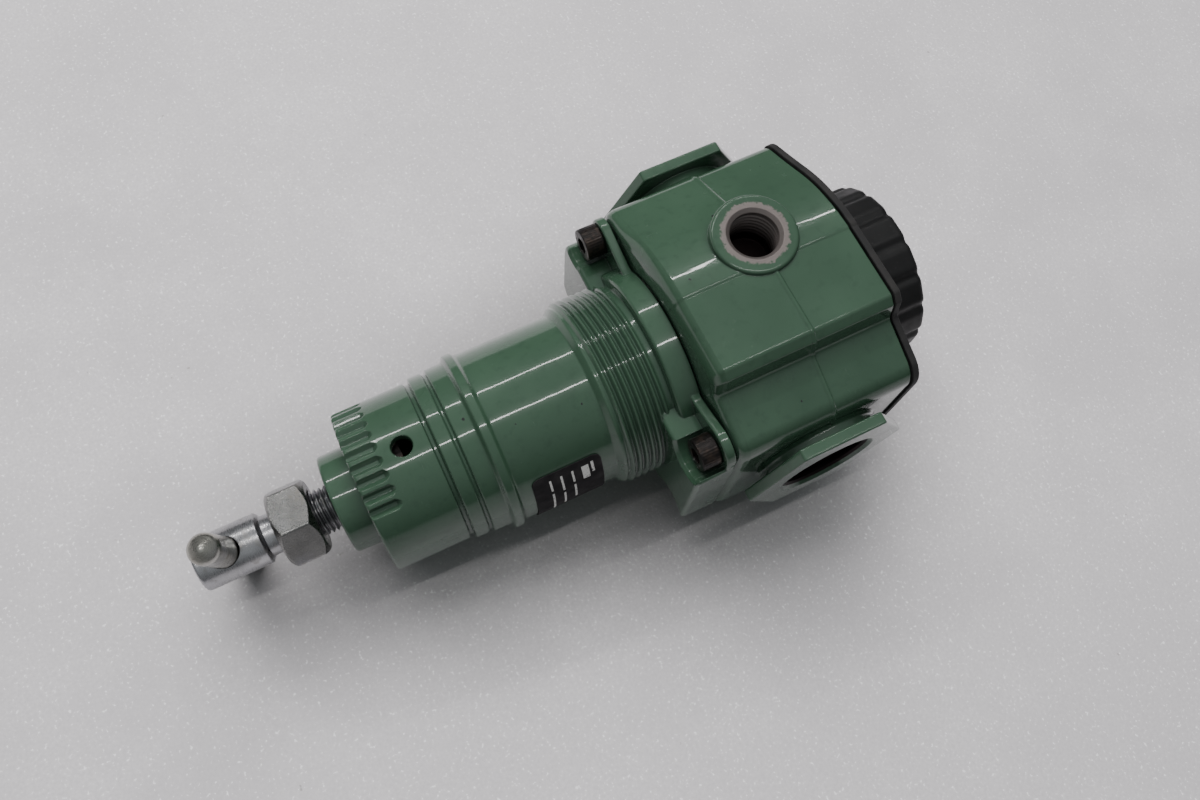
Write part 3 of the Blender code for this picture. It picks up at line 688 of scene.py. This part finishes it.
PAINT_BODY = green_paint("green_enamel_body", machined=True)
PAINT_BONNET = green_paint("green_enamel_bonnet")
ZINC_HEAD = zinc("zinc_plate_turned", (0.46, 0.46, 0.47))
ZINC_NUT = zinc("zinc_plate_nut", (0.27, 0.268, 0.26), (3.0, 3.0, 3.0))
ZINC_BAR = zinc("zinc_plate_bar", (0.50, 0.49, 0.44), (1.0, 12.0, 1.0))
OXIDE = black_steel("black_oxide_steel")
PLASTIC = black_plastic("black_moulded_plastic")
RUBBER = rubber("black_rubber")
BRASS = turned_metal("turned_brass", (0.60, 0.42, 0.16))
SPRING = turned_metal("drawn_spring_wire", (0.30, 0.30, 0.31), 0.32)
WASHER = turned_metal("pressed_aluminium", (0.62, 0.63, 0.64), 0.36)
LABEL = label_print("label_print")


# ---- body casting -----------------------------------------------------------------------
def casing_corners(grow=0.0):
    """The casing's outline, with a small step beside the front panel."""
    front = BODY_FRONT + grow
    bulge = chaikin(
        [
            arc((LOBE_X, LOBE_Y), SLIM_LOBE_R + grow, 62, 62.1, 1)[0],
            (27.0 + grow * 0.4, 26.9 + grow),
            (17.0, front - 3.4),
            (7.5, front - 0.7),
            (0.6, front),
        ]
    )
    upper = [
        *arc((LOBE_X, LOBE_Y), SLIM_LOBE_R + grow, 0, 60, 6),
        *bulge[1:],
        (-0.1, front - 0.3, 0.25),
        (-19.8, front - 0.3, 1.6),
        (-22.0, front - 2.2, 1.0),
        (-23.1, 28.5 + grow * 0.6, 2.4),
        *arc((-LOBE_X, LOBE_Y), LOBE_R + grow, 114, 180, 6),
    ]
    lower = [(point[0], -point[1], *point[2:]) for point in reversed(upper)]
    return upper + lower


def lean_rim(x, y, z):
    """Draws the body's top rim back over the broad front and rear panels."""
    rise = min(max((z - BODY_TOP + FRONT_RIM + 0.4) / (FRONT_RIM + 0.4), 0.0), 1.0)
    out = min(max((abs(y) - 24.0) / 8.0, 0.0), 1.0)
    drawn = FRONT_RIM * rise**2 * out * out * (3 - 2 * out)
    return x, y - math.copysign(drawn, y)


def build_body():
    shape = bmesh.new()
    levels = [
        (BODY_LOW, 0.45),
        (BODY_LOW + 0.15, 0.15),
        (BODY_LOW + 0.45, 0.0),
        (-0.95, 0.0),
        (-0.6, -0.12),
        (-0.3, -0.46),
        (0.25, -0.5),
        (0.6, -0.28),
        (1.0, -0.15),
        (BODY_TOP - BODY_EDGE - 0.2, -0.14),
    ]
    for step in range(6):
        angle = math.pi / 2 * step / 5
        levels.append(
            (BODY_TOP - BODY_EDGE * (1 - math.sin(angle)), BODY_EDGE * (1 - math.cos(angle)))
        )
    stack(shape, casing_corners(), levels, steps=4, lean=lean_rim)
    body = loose("body_casting", shape)
    work = []
    for side in (-1, 1):
        neck = [(0, PORT_FACE - 1), (NECK_R, PORT_FACE - 1)]
        neck += [(NECK_R, 38.9, 0.8), (NECK_R + 1.6, 37.8), (0, 35.0)]
        neck = round_corners(neck)
        work.append(("UNION", solid(f"neck_{side + 1}", neck, along_x(side), 96)))
        levels = rounded_levels(PORT_FACE - HEX_THICK, PORT_FACE, 0.45, 0.45, 3)
        shape = bmesh.new()
        stack(shape, hexagon_corners(HEX_AF, 0, 1.0), levels, steps=3)
        work.append(("UNION", loose(f"hexagon_{side + 1}", shape, along_x(side))))
    for side in (-1, 1):
        boss = [(0, GAUGE_FACE), (BOSS_R, GAUGE_FACE, 1.1)]
        boss += [(BOSS_R + 0.15, 33.0), (BOSS_R + 0.5, 28.0), (0, 26.0)]
        boss = round_corners(boss)
        place = move(GAUGE_X, 0, 0) @ along_y(side)
        work.append(("UNION", solid(f"gauge_boss_{side + 1}", boss, place, 96)))
    work.append(("DIFFERENCE", solid("cavity", BODY_CAVITY, around=96)))
    for side in (-1, 1):
        shape = bmesh.new()
        revolve(shape, [(0, 53), (15.0, 53), (13.6, PORT_FACE), (12.1, 42.9)], 96)
        thread(shape, 24.5, 42.9, 1.81, 12.1, PORT_BORE_R, 96, 6)
        revolve(shape, [(12.1, 24.5), (11.6, 23.0), (0, 23.0)], 96)
        work.append(("DIFFERENCE", loose(f"port_bore_{side + 1}", shape, along_x(side))))
        shape = bmesh.new()
        mouth = [(0, 44), (9.0, 44), (GAUGE_BORE_R + 0.55, GAUGE_FACE), (6.1, GAUGE_FACE - 1.0)]
        revolve(shape, mouth, 72)
        thread(shape, 25.5, GAUGE_FACE - 1.0, 1.41, 6.1, GAUGE_BORE_R + 0.05, 72, 6)
        revolve(shape, [(6.1, 25.5), (5.6, 24.2), (0, 24.2)], 72)
        place = move(GAUGE_X, 0, 0) @ along_y(side)
        work.append(("DIFFERENCE", loose(f"gauge_bore_{side + 1}", shape, place)))
        passage = [(0, 29.0), (2.5, 29.0), (2.5, 9.0), (0, 9.0)]
        place = move(GAUGE_X, 0, 6.3) @ along_y(side)
        work.append(("DIFFERENCE", solid(f"gauge_passage_{side + 1}", passage, place, 24)))
        link = [(0, 6.3), (2.5, 6.3), (2.5, 0.0), (0, 0.0)]
        place = move(GAUGE_X, side * 27.0, 0)
        work.append(("DIFFERENCE", solid(f"gauge_link_{side + 1}", link, place, 24)))
    for name, x_low, x_high, z_low, z_high in (
        ("inlet_passage", -30.0, -12.0, -11.5, -7.0),
        ("outlet_passage", 12.0, 30.0, 3.5, 9.0),
    ):
        shape = bmesh.new()
        outline = [(x_low, -7.0, 0.0), (x_high, -7.0, 0.0), (x_high, 7.0, 0.0), (x_low, 7.0, 0.0)]
        stack(shape, outline, [(z_low, 0.0), (z_high, 0.0)])
        work.append(("DIFFERENCE", loose(name, shape)))
    sense = [(0, 15.0), (1.5, 15.0), (1.5, 9.0), (0, 9.0)]
    work.append(("DIFFERENCE", solid("sense_hole", sense, move(9.0, 0, 0), 24)))
    for index, (x, y) in enumerate(screw_places()):
        hole = [(0, BODY_TOP + 1), (2.75, BODY_TOP + 1), (2.75, 8.0), (0, 8.0)]
        work.append(("DIFFERENCE", solid(f"screw_hole_{index}", hole, move(x, y, 0), 32)))
    carve(body, work)
    dress(body, PAINT_BODY, "housing", "casting", "body")


def screw_places():
    return [(x, y) for x in (-LOBE_X, LOBE_X) for y in (-LOBE_Y, LOBE_Y)]


# ---- bonnet -----------------------------------------------------------------------------
def grip_flute(name, turn):
    """A cutter for one groove of the cap's grip, with slanted flanks and a sloping lower end."""
    shape = bmesh.new()
    floor = CAP_R - FLUTE_DEPTH
    rings = []
    section = [(floor, 0.42), (floor + 0.35, 0.78), (CAP_R + 0.7, 1.98)]
    section += [(r, -t) for r, t in reversed(section)]
    levels = [(FLUTE_LOW - 0.9, FLUTE_DEPTH + 0.3), (FLUTE_LOW + 0.5, 0.0), (CAP_TOP + 2, 0.0)]
    for z, lift in levels:
        around = [(r + lift, t) for r, t in section]
        rings.append([shape.verts.new((mm(r), mm(t), mm(z))) for r, t in around])
    shape.faces.new(rings[0])
    shape.faces.new(rings[-1])
    for lower, upper in zip(rings, rings[1:]):
        for index, corner in enumerate(lower):
            shape.faces.new((lower[index - 1], corner, upper[index], upper[index - 1]))
    return loose(name, shape, turn)


def build_bonnet():
    above = [
        (0.0, BOSS_TOP),
        (BONNET_BOSS_R, BOSS_TOP, 0.9),
        (BONNET_BOSS_R + 0.2, CAP_TOP, 0.8),
        (CAP_R, CAP_TOP, 1.0),
        (CAP_R + 0.2, 91.1, 0.3),
        (CAP_R - 0.5, 90.8, 0.3),
        (CAP_R - 0.5, 90.0, 0.3),
        (CAP_R + 0.9, 89.5, 0.4),
        (CAP_R + 0.9, 86.2, 0.3),
        (CAP_R + 0.3, 85.7, 0.2),
        (CAP_R + 0.3, 85.2, 0.2),
        (CAP_R + 1.2, 84.7, 0.3),
        (CAP_R + 1.3, 80.2, 0.5),
        (RIDGE_R, 79.3, 0.5),
        (RIDGE_R, 77.3, 0.5),
        (BARREL_R, 76.4, 0.8),
        (BARREL_R, 50.6, 0.6),
        (THREAD_ROOT, THREAD_TOP),
    ]
    below = [
        (THREAD_ROOT, THREAD_LOW),
        (THREAD_ROOT, 33.3, 0.4),
        (COLLAR_R, 33.0, 1.1),
        (COLLAR_R + 0.4, BONNET_LOW, 0.3),
        (0.0, BONNET_LOW),
    ]
    shape = bmesh.new()
    revolve(shape, round_corners(above))
    thread(shape, THREAD_LOW, THREAD_TOP, THREAD_PITCH, THREAD_ROOT, THREAD_R, fade=0.9)
    revolve(shape, round_corners(below))
    bonnet = loose("bonnet_casting", shape)

    slim, wide = SLIM_LOBE_R - 0.4, LOBE_R - 0.4
    upper = [
        (LOBE_X + slim, 0.0),
        *arc((LOBE_X, LOBE_Y), slim, 0, 100, 8),
        (20.0, 21.0),
        (-20.0, 21.0),
        *arc((-LOBE_X, LOBE_Y), wide, 80, 180, 8),
        (-LOBE_X - wide, 0.0),
    ]
    outline = upper + [(x, -y) for x, y in reversed(upper[1:-1])]
    shape = bmesh.new()
    stack(shape, outline, rounded_levels(BONNET_LOW + 0.2, PLATE_TOP, 0.3, 0.6, 3))
    work = [("UNION", loose("foot_plate", shape))]
    for side in (-1, 1):
        half_y, corner = OUTLET_WING if side > 0 else INLET_WING
        end_x = LOBE_X + (SLIM_LOBE_R if side > 0 else LOBE_R)
        half = [(end_x, half_y, corner), (18.0, half_y, 0.0)]
        outline = half + [(x, -y, r) for x, y, r in reversed(half)]
        if side < 0:
            outline = [(-x, y, r) for x, y, r in reversed(outline)]
        shape = bmesh.new()
        stack(shape, outline, rounded_levels(BONNET_LOW + 0.4, WING_TOP, 0.3, 1.2, 4))
        wing = loose(f"wing_{side + 1}", shape)
        pockets = []
        for end in (-1, 1):
            pocket = [(0, 45), (POCKET_R + 8, 45), (POCKET_R + 0.9, WING_TOP + 0.1, 0.3)]
            pocket += [(POCKET_R, WING_TOP - 0.9), (POCKET_R, 10.0), (0, 10.0)]
            pocket = round_corners(pocket)
            place = move(side * LOBE_X, end * LOBE_Y, 0)
            pockets.append(("DIFFERENCE", solid(f"pocket_{side + 1}_{end + 1}", pocket, place, 64)))
        carve(wing, pockets)
        work.append(("UNION", wing))
    for index, (x, y) in enumerate(screw_places()):
        hole = [(0, WING_TOP), (2.75, WING_TOP), (2.75, 20.0), (0, 20.0)]
        work.append(("DIFFERENCE", solid(f"foot_hole_{index}", hole, move(x, y, 0), 32)))
    hole_r = SCREW_R + 0.3
    cavity = [
        (0.0, BOSS_TOP + 1.0),
        (hole_r + 1.6, BOSS_TOP + 1.0),
        (hole_r, BOSS_TOP - 0.6),
        (hole_r, CAVITY_TOP),
        (SPRING_BORE_R - 3.0, CAVITY_TOP),
        (SPRING_BORE_R - 0.4, 103.0),
        (SPRING_BORE_R, 88.0),
        (SPRING_BORE_R + 1.6, 84.0),
        (SPRING_BORE_R + 1.6, 34.0),
        (22.3, 31.0),
        (22.3, BONNET_LOW - 1.0),
        (0.0, BONNET_LOW - 1.0),
    ]
    work.append(("DIFFERENCE", solid("bonnet_cavity", cavity, around=96)))
    for index in range(FLUTES):
        turn = Matrix.Rotation(math.radians(FLUTE_FIRST + FLUTE_PITCH * index), 4, "Z")
        work.append(("DIFFERENCE", grip_flute(f"flute_{index}", turn)))
    vent = [(0, 30), (4.5, 30), (VENT_R + 0.45, CAP_R + 0.4)]
    vent += [(VENT_R, CAP_R - 0.5), (VENT_R, 12.0), (0, 12.0)]
    work.append(("DIFFERENCE", solid("vent", vent, move(0, 0, VENT_Z) @ along_y(-1), 48)))
    carve(bonnet, work)
    dress(bonnet, PAINT_BONNET, "housing", "casting", "bonnet")


# ---- fasteners --------------------------------------------------------------------------
def build_bonnet_screws():
    seat = PLATE_TOP + 0.3
    shank = 2.45

    def knurl(radius, z, angle):
        if radius < CAP_SCREW_R - 0.05 or not seat + 0.5 < z < CAP_SCREW_TOP - 0.6:
            return radius
        return radius - 0.16 * (0.5 + 0.5 * math.cos(36 * angle))

    profile = round_corners(
        [
            (0.0, CAP_SCREW_TOP),
            (CAP_SCREW_R, CAP_SCREW_TOP, 0.5),
            (CAP_SCREW_R, CAP_SCREW_TOP - 0.7),
            (CAP_SCREW_R, seat + 0.4),
            (CAP_SCREW_R, seat, 0.2),
            (shank, seat),
            (shank - 0.35, 26.0),
        ]
    )
    for index, (x, y) in enumerate(screw_places(), 1):
        shape = bmesh.new()
        revolve(shape, profile, 144, knurl)
        thread(shape, 11.4, 26.0, 0.8, shank - 0.35, shank, 144, 6)
        end = [(shank - 0.35, 11.4), (shank - 0.9, CAP_SCREW_LOW), (0, CAP_SCREW_LOW)]
        revolve(shape, end, 144)
        screw = loose(f"socket_screw_{index}", shape)
        shape = bmesh.new()
        levels = [(CAP_SCREW_TOP - 2.6, 0.0), (CAP_SCREW_TOP + 1.0, 0.0)]
        stack(shape, hexagon_corners(4.0, 15, 0.0), levels)
        carve(screw, [("DIFFERENCE", loose("socket", shape))])
        screw.data.transform(move(x, y, 0))
        dress(screw, OXIDE, "housing", "black_steel", f"bonnet_screw_{index}")


# ---- adjusting screw, T-bar and lock nut ------------------------------------------------
def build_adjusting_screw():
    shoulder = 136.4
    thread_top = shoulder - 2.6
    thread_low = SCREW_TIP + 2.2
    head = [
        (0.0, HEAD_TOP),
        (HEAD_R, HEAD_TOP, 0.9),
        (HEAD_R, shoulder + 0.9, 0.4),
        (HEAD_R - 1.3, shoulder, 0.3),
        (SCREW_ROOT + 0.1, shoulder - 0.9, 0.4),
        (SCREW_ROOT, thread_top),
    ]
    tip = [(SCREW_ROOT, thread_low), (SCREW_ROOT - 0.4, SCREW_TIP + 1.2)]
    tip += [(2.95, SCREW_TIP), (0.0, SCREW_TIP)]
    shape = bmesh.new()
    revolve(shape, round_corners(head), 120)
    thread(shape, thread_low, thread_top, SCREW_PITCH, SCREW_ROOT, SCREW_R, 120, 8)
    revolve(shape, tip, 120)
    screw = loose("t_screw", shape)
    hole = [
        (0, 12),
        (6.0, 12),
        (BAR_R + 0.45, HEAD_R + 0.1),
        (BAR_R + 0.12, HEAD_R - 0.8),
        (BAR_R + 0.12, -HEAD_R + 0.8),
        (BAR_R + 0.45, -HEAD_R - 0.1),
        (6.0, -12),
        (0, -12),
    ]
    place = move(0, 0, BAR_Z) @ Matrix.Rotation(BAR_TURN, 4, "Z") @ along_y(-1)
    carve(screw, [("DIFFERENCE", solid("bar_hole", hole, place, 64))])
    dress(screw, ZINC_HEAD, "screw", "zinc_steel", "adjusting_screw")

    half = 26.0
    end = [(0.0, half), (0.5, half - 0.05), (1.0, half - 0.35), (2.9, half - 1.75)]
    end += [(3.45, half - 2.3), (BAR_R - 0.05, half - 2.9), (BAR_R, half - 3.6)]
    profile = end + [(r, -z) for r, z in reversed(end)]
    bar = solid("cross_bar", profile, place, 72)
    dress(bar, ZINC_BAR, "screw", "zinc_steel", "t_bar", sharp=50)


def build_lock_nut():
    corner = NUT_AF / math.sqrt(3)
    shape = bmesh.new()
    levels = rounded_levels(NUT_LOW, NUT_HIGH, 0.3, 0.3, 3)
    stack(shape, hexagon_corners(NUT_AF, 6, 0.9), levels, steps=4)
    nut = loose("hex_nut", shape)
    chamfer = [
        (0.0, NUT_HIGH + 1.0),
        (NUT_AF / 2 - 1.2, NUT_HIGH + 0.5),
        (NUT_AF / 2 - 0.3, NUT_HIGH - 0.15),
        (corner + 0.3, NUT_HIGH - 1.9),
        (corner + 0.5, NUT_HIGH - 3.0),
        (corner + 0.5, NUT_LOW + 3.0),
        (corner + 0.3, NUT_LOW + 1.9),
        (NUT_AF / 2 - 0.3, NUT_LOW + 0.15),
        (NUT_AF / 2 - 1.2, NUT_LOW - 0.5),
        (0.0, NUT_LOW - 1.0),
    ]
    bore = [
        (0, NUT_HIGH + 1),
        (SCREW_R + 1.4, NUT_HIGH + 1),
        (SCREW_R + 0.3, NUT_HIGH - 0.6),
        (SCREW_R + 0.3, NUT_LOW + 0.6),
        (SCREW_R + 1.4, NUT_LOW - 1),
        (0, NUT_LOW - 1),
    ]
    carve(
        nut,
        [
            ("INTERSECT", solid("nut_chamfer", chamfer, around=120)),
            ("DIFFERENCE", solid("nut_bore", bore, around=96)),
        ],
    )
    dress(nut, ZINC_NUT, "nut", "zinc_steel", "lock_nut", sharp=24)


# ---- bottom gasket and plug -------------------------------------------------------------
def build_bottom():
    shape = bmesh.new()
    levels = [(GASKET_LOW, 0.15), (GASKET_LOW + 0.2, 0.0)]
    levels += [(GASKET_HIGH - 0.2, 0.0), (GASKET_HIGH, 0.15)]
    stack(shape, casing_corners(0.5), levels)
    gasket = loose("gasket_sheet", shape)
    above, below = GASKET_HIGH + 2, GASKET_LOW - 2
    bore = [(0, above), (19.0, above), (19.0, below), (0, below)]
    carve(gasket, [("DIFFERENCE", solid("gasket_bore", bore, around=96))])
    dress(gasket, RUBBER, "housing", "seal_rubber", "bottom_gasket")

    wall = 18.7
    rim = GASKET_LOW - 0.3
    lobes = 16

    def scallop(radius, z, angle):
        if radius < wall + 1.0 or z > rim - 1.2:
            return radius
        step = 2 * math.pi / lobes
        aside = (angle + step / 2) % step - step / 2
        flat = radius * (1.0 - math.cos(step / 2) / math.cos(aside))
        notch = 1.1 * (0.5 - 0.5 * math.cos(lobes * angle)) ** 6
        return radius - (flat + notch) * min(1.0, (rim - 1.2 - z) / 1.6)

    outer = [
        (13.0, PLUG_HIGH, 0.0),
        (wall, PLUG_HIGH, 0.8),
        (wall, -16.2, 0.2),
        (wall - 1.6, -16.2, 0.2),
        (wall - 1.6, -18.2, 0.2),
        (wall, -18.2, 0.2),
        (wall, rim, 0.1),
        (PLUG_R, rim, 0.5),
        (PLUG_R, rim - 1.2, 0.0),
        (PLUG_R, rim - 2.0, 0.0),
        (PLUG_R, rim - 3.0, 0.0),
        (PLUG_R, PLUG_LOW, 1.8),
        (17.0, PLUG_LOW, 0.6),
        (15.6, PLUG_LOW + 1.2, 0.5),
        (0.0, PLUG_LOW + 1.2),
    ]
    inner = [
        (0.0, -35.0),
        (5.3, -35.0, 0.0),
        (5.3, -23.8, 0.3),
        (13.0, -23.8, 0.8),
        (13.0, PLUG_HIGH),
    ]
    shape = bmesh.new()
    revolve(shape, round_corners(outer), lobes * 14, scallop)
    revolve(shape, round_corners(inner), lobes * 14)
    plug = loose("ribbed_plug", shape)
    dress(plug, PLASTIC, "housing", "plug_plastic", "bottom_plug")


# ---- rear gauge plug and label ----------------------------------------------------------
def build_gauge_plug():
    depth = high("rear_gauge_plug").y
    radius = GAUGE_BORE_R - 0.3
    profile = round_corners(
        [(0, depth), (radius, depth, 0.5), (radius, depth - 8.0, 0.6), (0, depth - 8.0)]
    )
    plug = solid("gauge_port_plug", profile, move(GAUGE_X, 0, 0) @ along_y(1), 96)
    corner = 6.35 / math.sqrt(3)
    hexagon = [
        (corner * math.cos(math.radians(60 * k)), corner * math.sin(math.radians(60 * k)), 0.0)
        for k in range(6)
    ]
    shape = bmesh.new()
    stack(shape, hexagon, [(depth - 4.4, 0.0), (depth + 2.0, 0.0)])
    socket = loose("plug_socket", shape, move(GAUGE_X, 0, 0) @ along_y(1))
    carve(plug, [("DIFFERENCE", socket)])
    dress(plug, BRASS, "housing", "brass", "rear_gauge_plug")


def build_label():
    inner = BARREL_R + 0.15
    outer = inner + 0.25
    first, last = math.radians(-145.0), math.radians(-222.0)
    corner = 2.0
    length = abs(last - first) * outer
    count = 96
    columns = []
    shape = bmesh.new()
    for step in range(count + 1):
        angle = first + (last - first) * step / count
        along = length * step / count
        near = min(along, length - along)
        cut = 0.0
        if near < corner:
            cut = corner - math.sqrt(max(corner**2 - (corner - near) ** 2, 0.0))
        corners = []
        for radius, z in (
            (outer, LABEL_LOW + cut),
            (outer, LABEL_HIGH - cut),
            (inner, LABEL_HIGH - cut),
            (inner, LABEL_LOW + cut),
        ):
            corners.append(
                shape.verts.new((mm(radius * math.cos(angle)), mm(radius * math.sin(angle)), mm(z)))
            )
        columns.append(corners)
    for here, there in zip(columns, columns[1:]):
        for k in range(4):
            shape.faces.new((here[k], there[k], there[(k + 1) % 4], here[(k + 1) % 4]))
    shape.faces.new(columns[0])
    shape.faces.new(list(reversed(columns[-1])))
    label = loose("data_plate", shape)
    dress(label, LABEL, "housing", "label_film", "label")


# ---- springs and diaphragm: copies of the nodes' shapes with new finishes ---
def build_flexing(name, node, look):
    """A copy of a node's shape with the given finish, shown in place of the hidden node."""
    bpy.context.view_layer.update()
    source = frame["nodes"][node]
    mesh = source.data.copy()
    mesh.name = name
    mesh.transform(source.matrix_world)
    mesh.materials.clear()
    mesh.materials.append(look)
    mesh.shade_smooth()
    mesh.set_sharp_from_angle(angle=math.radians(50.0))
    obj = bpy.data.objects.new(name, mesh)
    bpy.context.scene.collection.objects.link(obj)
    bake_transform(obj)
    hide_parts(node)


def build_springs_and_diaphragm():
    for name, node, body in (
        ("range_coil", "range_spring", "spring_seat"),
        ("valve_coil", "valve_spring", "valve"),
    ):
        build_flexing(name, node, SPRING)
    build_flexing(
        "diaphragm_sheet", "diaphragm", RUBBER
    )


# ---- inner pieces keep their CAD shape --------------------------------------------------
def dress_inner_nodes():
    finishes = {
        RUBBER: ("plug_o_ring", "valve_o_ring", "valve_seal"),
        OXIDE: ("spring_button",),
        ZINC_HEAD: ("diaphragm_plate",),
        WASHER: ("diaphragm_washer",),
        BRASS: ("relief_seat", "diaphragm_nut", "valve_poppet"),
    }
    for finish, names in finishes.items():
        for name in names:
            obj = frame["nodes"][name]
            for slot in obj.material_slots:
                slot.material = finish


# ---- stage ------------------------------------------------------------------------------
BENCH_HALF = 8.0  # metres, so that no view at these angles sees its edge
SHADOW_REACH = 48.0
LAMP_WHITE = (1.0, 0.98, 0.97)


def floor_material():
    """A pale frosted bench top with faint streaks, clear when seen from below.

    Its colour is darkened near the object, which deepens the contact shadow beyond what the
    lamps give.
    """
    look = Look("bench_top", (0.60, 0.58, 0.60), 0.5)
    along = look.stretched((26.0, 26.0, 2.2), (0.0, math.radians(-24.0), 0.0))
    cloud = look.patches(9.0, 5.0, 0.35, 0.7)
    colour = look.mix(cloud, (0.515, 0.498, 0.51), (0.57, 0.553, 0.563))
    streaks = look.span(look.noise(1.0, 3.0, 0.55, along), 0.40, 0.66, 0.0, 0.8)
    colour = look.mix(streaks, colour, (0.605, 0.588, 0.598))
    frost = look.noise(1150.0, 2.0)
    colour = look.mix(look.span(frost, 0.35, 0.68, 0.0, 0.5), colour, (0.45, 0.435, 0.45))
    colour = look.mix(look.span(frost, 0.36, 0.28, 0.0, 0.8), colour, (0.86, 0.86, 0.87))
    fleck = look.patches(330.0, 2.0, 0.775, 0.80, 0.0, 0.55)
    colour = look.mix(fleck, colour, (0.22, 0.20, 0.19))
    under = look.span(look.crevice(SHADOW_REACH), 0.42, 0.97, 0.85, 0.0)
    colour = look.mix(under, colour, (0.10, 0.096, 0.095))
    look.set("Base Color", colour)
    look.set("Roughness", look.patches(300.0, 3.0, 0.3, 0.7, 0.38, 0.60))
    look.set("Normal", look.bump(frost, 0.35, 0.22))
    facing = look.node("ShaderNodeNewGeometry").outputs["Backfacing"]
    clear = look.node("ShaderNodeBsdfTransparent")
    both = look.node("ShaderNodeMixShader")
    look.link(facing, both.inputs[0])
    look.link(look.shader.outputs[0], both.inputs[1])
    look.link(clear.outputs[0], both.inputs[2])
    look.link(both.outputs[0], look.tree.nodes["Material Output"].inputs["Surface"])
    return look.material


def build_floor():
    """The bench that the object lies on, under its rear gauge boss and the T-bar's far end."""
    boss = Vector((0, GAUGE_FACE, 11.0))
    bar = Vector((0, high("t_bar").y - 0.3, BAR_Z + BAR_R))
    slope = (boss.y - bar.y) / (bar.z - boss.z)
    shape = bmesh.new()
    bmesh.ops.create_grid(shape, x_segments=8, y_segments=8, size=BENCH_HALF)
    mesh = bpy.data.meshes.new("bench")
    shape.to_mesh(mesh)
    shape.free()
    floor = bpy.data.objects.new("bench", mesh)
    bpy.context.scene.collection.objects.link(floor)
    floor.rotation_euler = (math.radians(90) + math.atan(slope), 0, 0)
    floor.location = (0, mm(boss.y + 0.15 + slope * (boss.z - 60.0)), mm(60.0 + LIFT.z))
    mesh.materials.append(floor_material())
    floor.visible_shadow = False  # so that the lamp behind it reaches the object's back


def add_light(name, place, power, width, height, colour=(1, 1, 1)):
    """A rectangular lamp aimed at the object. Places and sizes are in metres."""
    data = bpy.data.lights.new(name, "AREA")
    data.energy = power
    data.color = colour
    data.shape = "RECTANGLE"
    data.size = width
    data.size_y = height
    lamp = bpy.data.objects.new(name, data)
    bpy.context.scene.collection.objects.link(lamp)
    aim = Vector((0.0, 0.0, 0.06)) - Vector(place)
    lamp.location = Vector(place) + LIFT * 0.001
    lamp.rotation_euler = aim.to_track_quat("-Z", "Y").to_matrix().to_4x4().to_euler()
    return lamp


def build_lights():
    """A room bright overhead, two long strip lights, and a soft lamp on either side of the bench."""
    world = bpy.data.worlds.new("soft_room")
    bpy.context.scene.world = world
    world.use_nodes = True
    tree = world.node_tree
    aim = tree.nodes.new("ShaderNodeTexCoord")
    split = tree.nodes.new("ShaderNodeSeparateXYZ")
    tree.links.new(aim.outputs["Generated"], split.inputs[0])
    level = tree.nodes.new("ShaderNodeMapRange")
    level.interpolation_type = "SMOOTHSTEP"
    for key, value in (("From Min", 0.2), ("From Max", -1.0), ("To Min", 0.05), ("To Max", 0.50)):
        level.inputs[key].default_value = value
    tree.links.new(split.outputs["Y"], level.inputs["Value"])
    back = tree.nodes["Background"]
    back.inputs["Color"].default_value = (0.93, 0.97, 1.0, 1.0)
    tree.links.new(level.outputs["Result"], back.inputs["Strength"])
    add_light("strip_near", (-0.04, -1.30, -0.02), 4.0, 0.03, 1.2, LAMP_WHITE)
    add_light("strip_far", (0.83, -0.98, -0.10), 4.0, 0.03, 1.2, LAMP_WHITE)
    soft = add_light("soft_over", (0.80, -1.25, -0.05), 31.0, 1.3, 1.3, (1.0, 0.98, 0.985))
    soft.visible_glossy = False
    behind = add_light("soft_behind", (-0.10, 1.3, 0.35), 18.0, 1.3, 1.3)
    behind.visible_glossy = False


# ---- camera -----------------------------------------------------------------------------
CAMERA_PLACE = (-0.0797, -0.2486, 0.0955)  # metres
CAMERA_TURN_DEG = 17.14  # from looking along +Y towards +X
CAMERA_DROP_DEG = 10.86
CAMERA_ROLL_DEG = -114.1
CAMERA_LENS = 30.0


def build_camera():
    turn, drop = math.radians(CAMERA_TURN_DEG), math.radians(CAMERA_DROP_DEG)
    flat = math.cos(drop)
    ahead = Vector((math.sin(turn) * flat, math.cos(turn) * flat, -math.sin(drop)))
    level = ahead.cross(Vector((0, 0, 1))).normalized()
    lift = level.cross(ahead)
    roll = math.radians(CAMERA_ROLL_DEG)
    right = level * math.cos(roll) + lift * math.sin(roll)
    up = lift * math.cos(roll) - level * math.sin(roll)
    data = bpy.data.cameras.new("camera")
    data.lens = CAMERA_LENS
    data.sensor_width = 36.0
    data.clip_start = 0.01
    camera = bpy.data.objects.new("camera", data)
    bpy.context.scene.collection.objects.link(camera)
    spin = Matrix((right, up, -ahead)).transposed()
    camera.rotation_euler = spin.to_euler()
    camera.location = Vector(CAMERA_PLACE) + LIFT * 0.001
    bpy.context.scene.camera = camera


build_body()
build_bonnet()
build_bonnet_screws()
build_adjusting_screw()
build_lock_nut()
build_bottom()
build_gauge_plug()
build_label()
build_springs_and_diaphragm()
dress_inner_nodes()
build_floor()
build_lights()
build_camera()
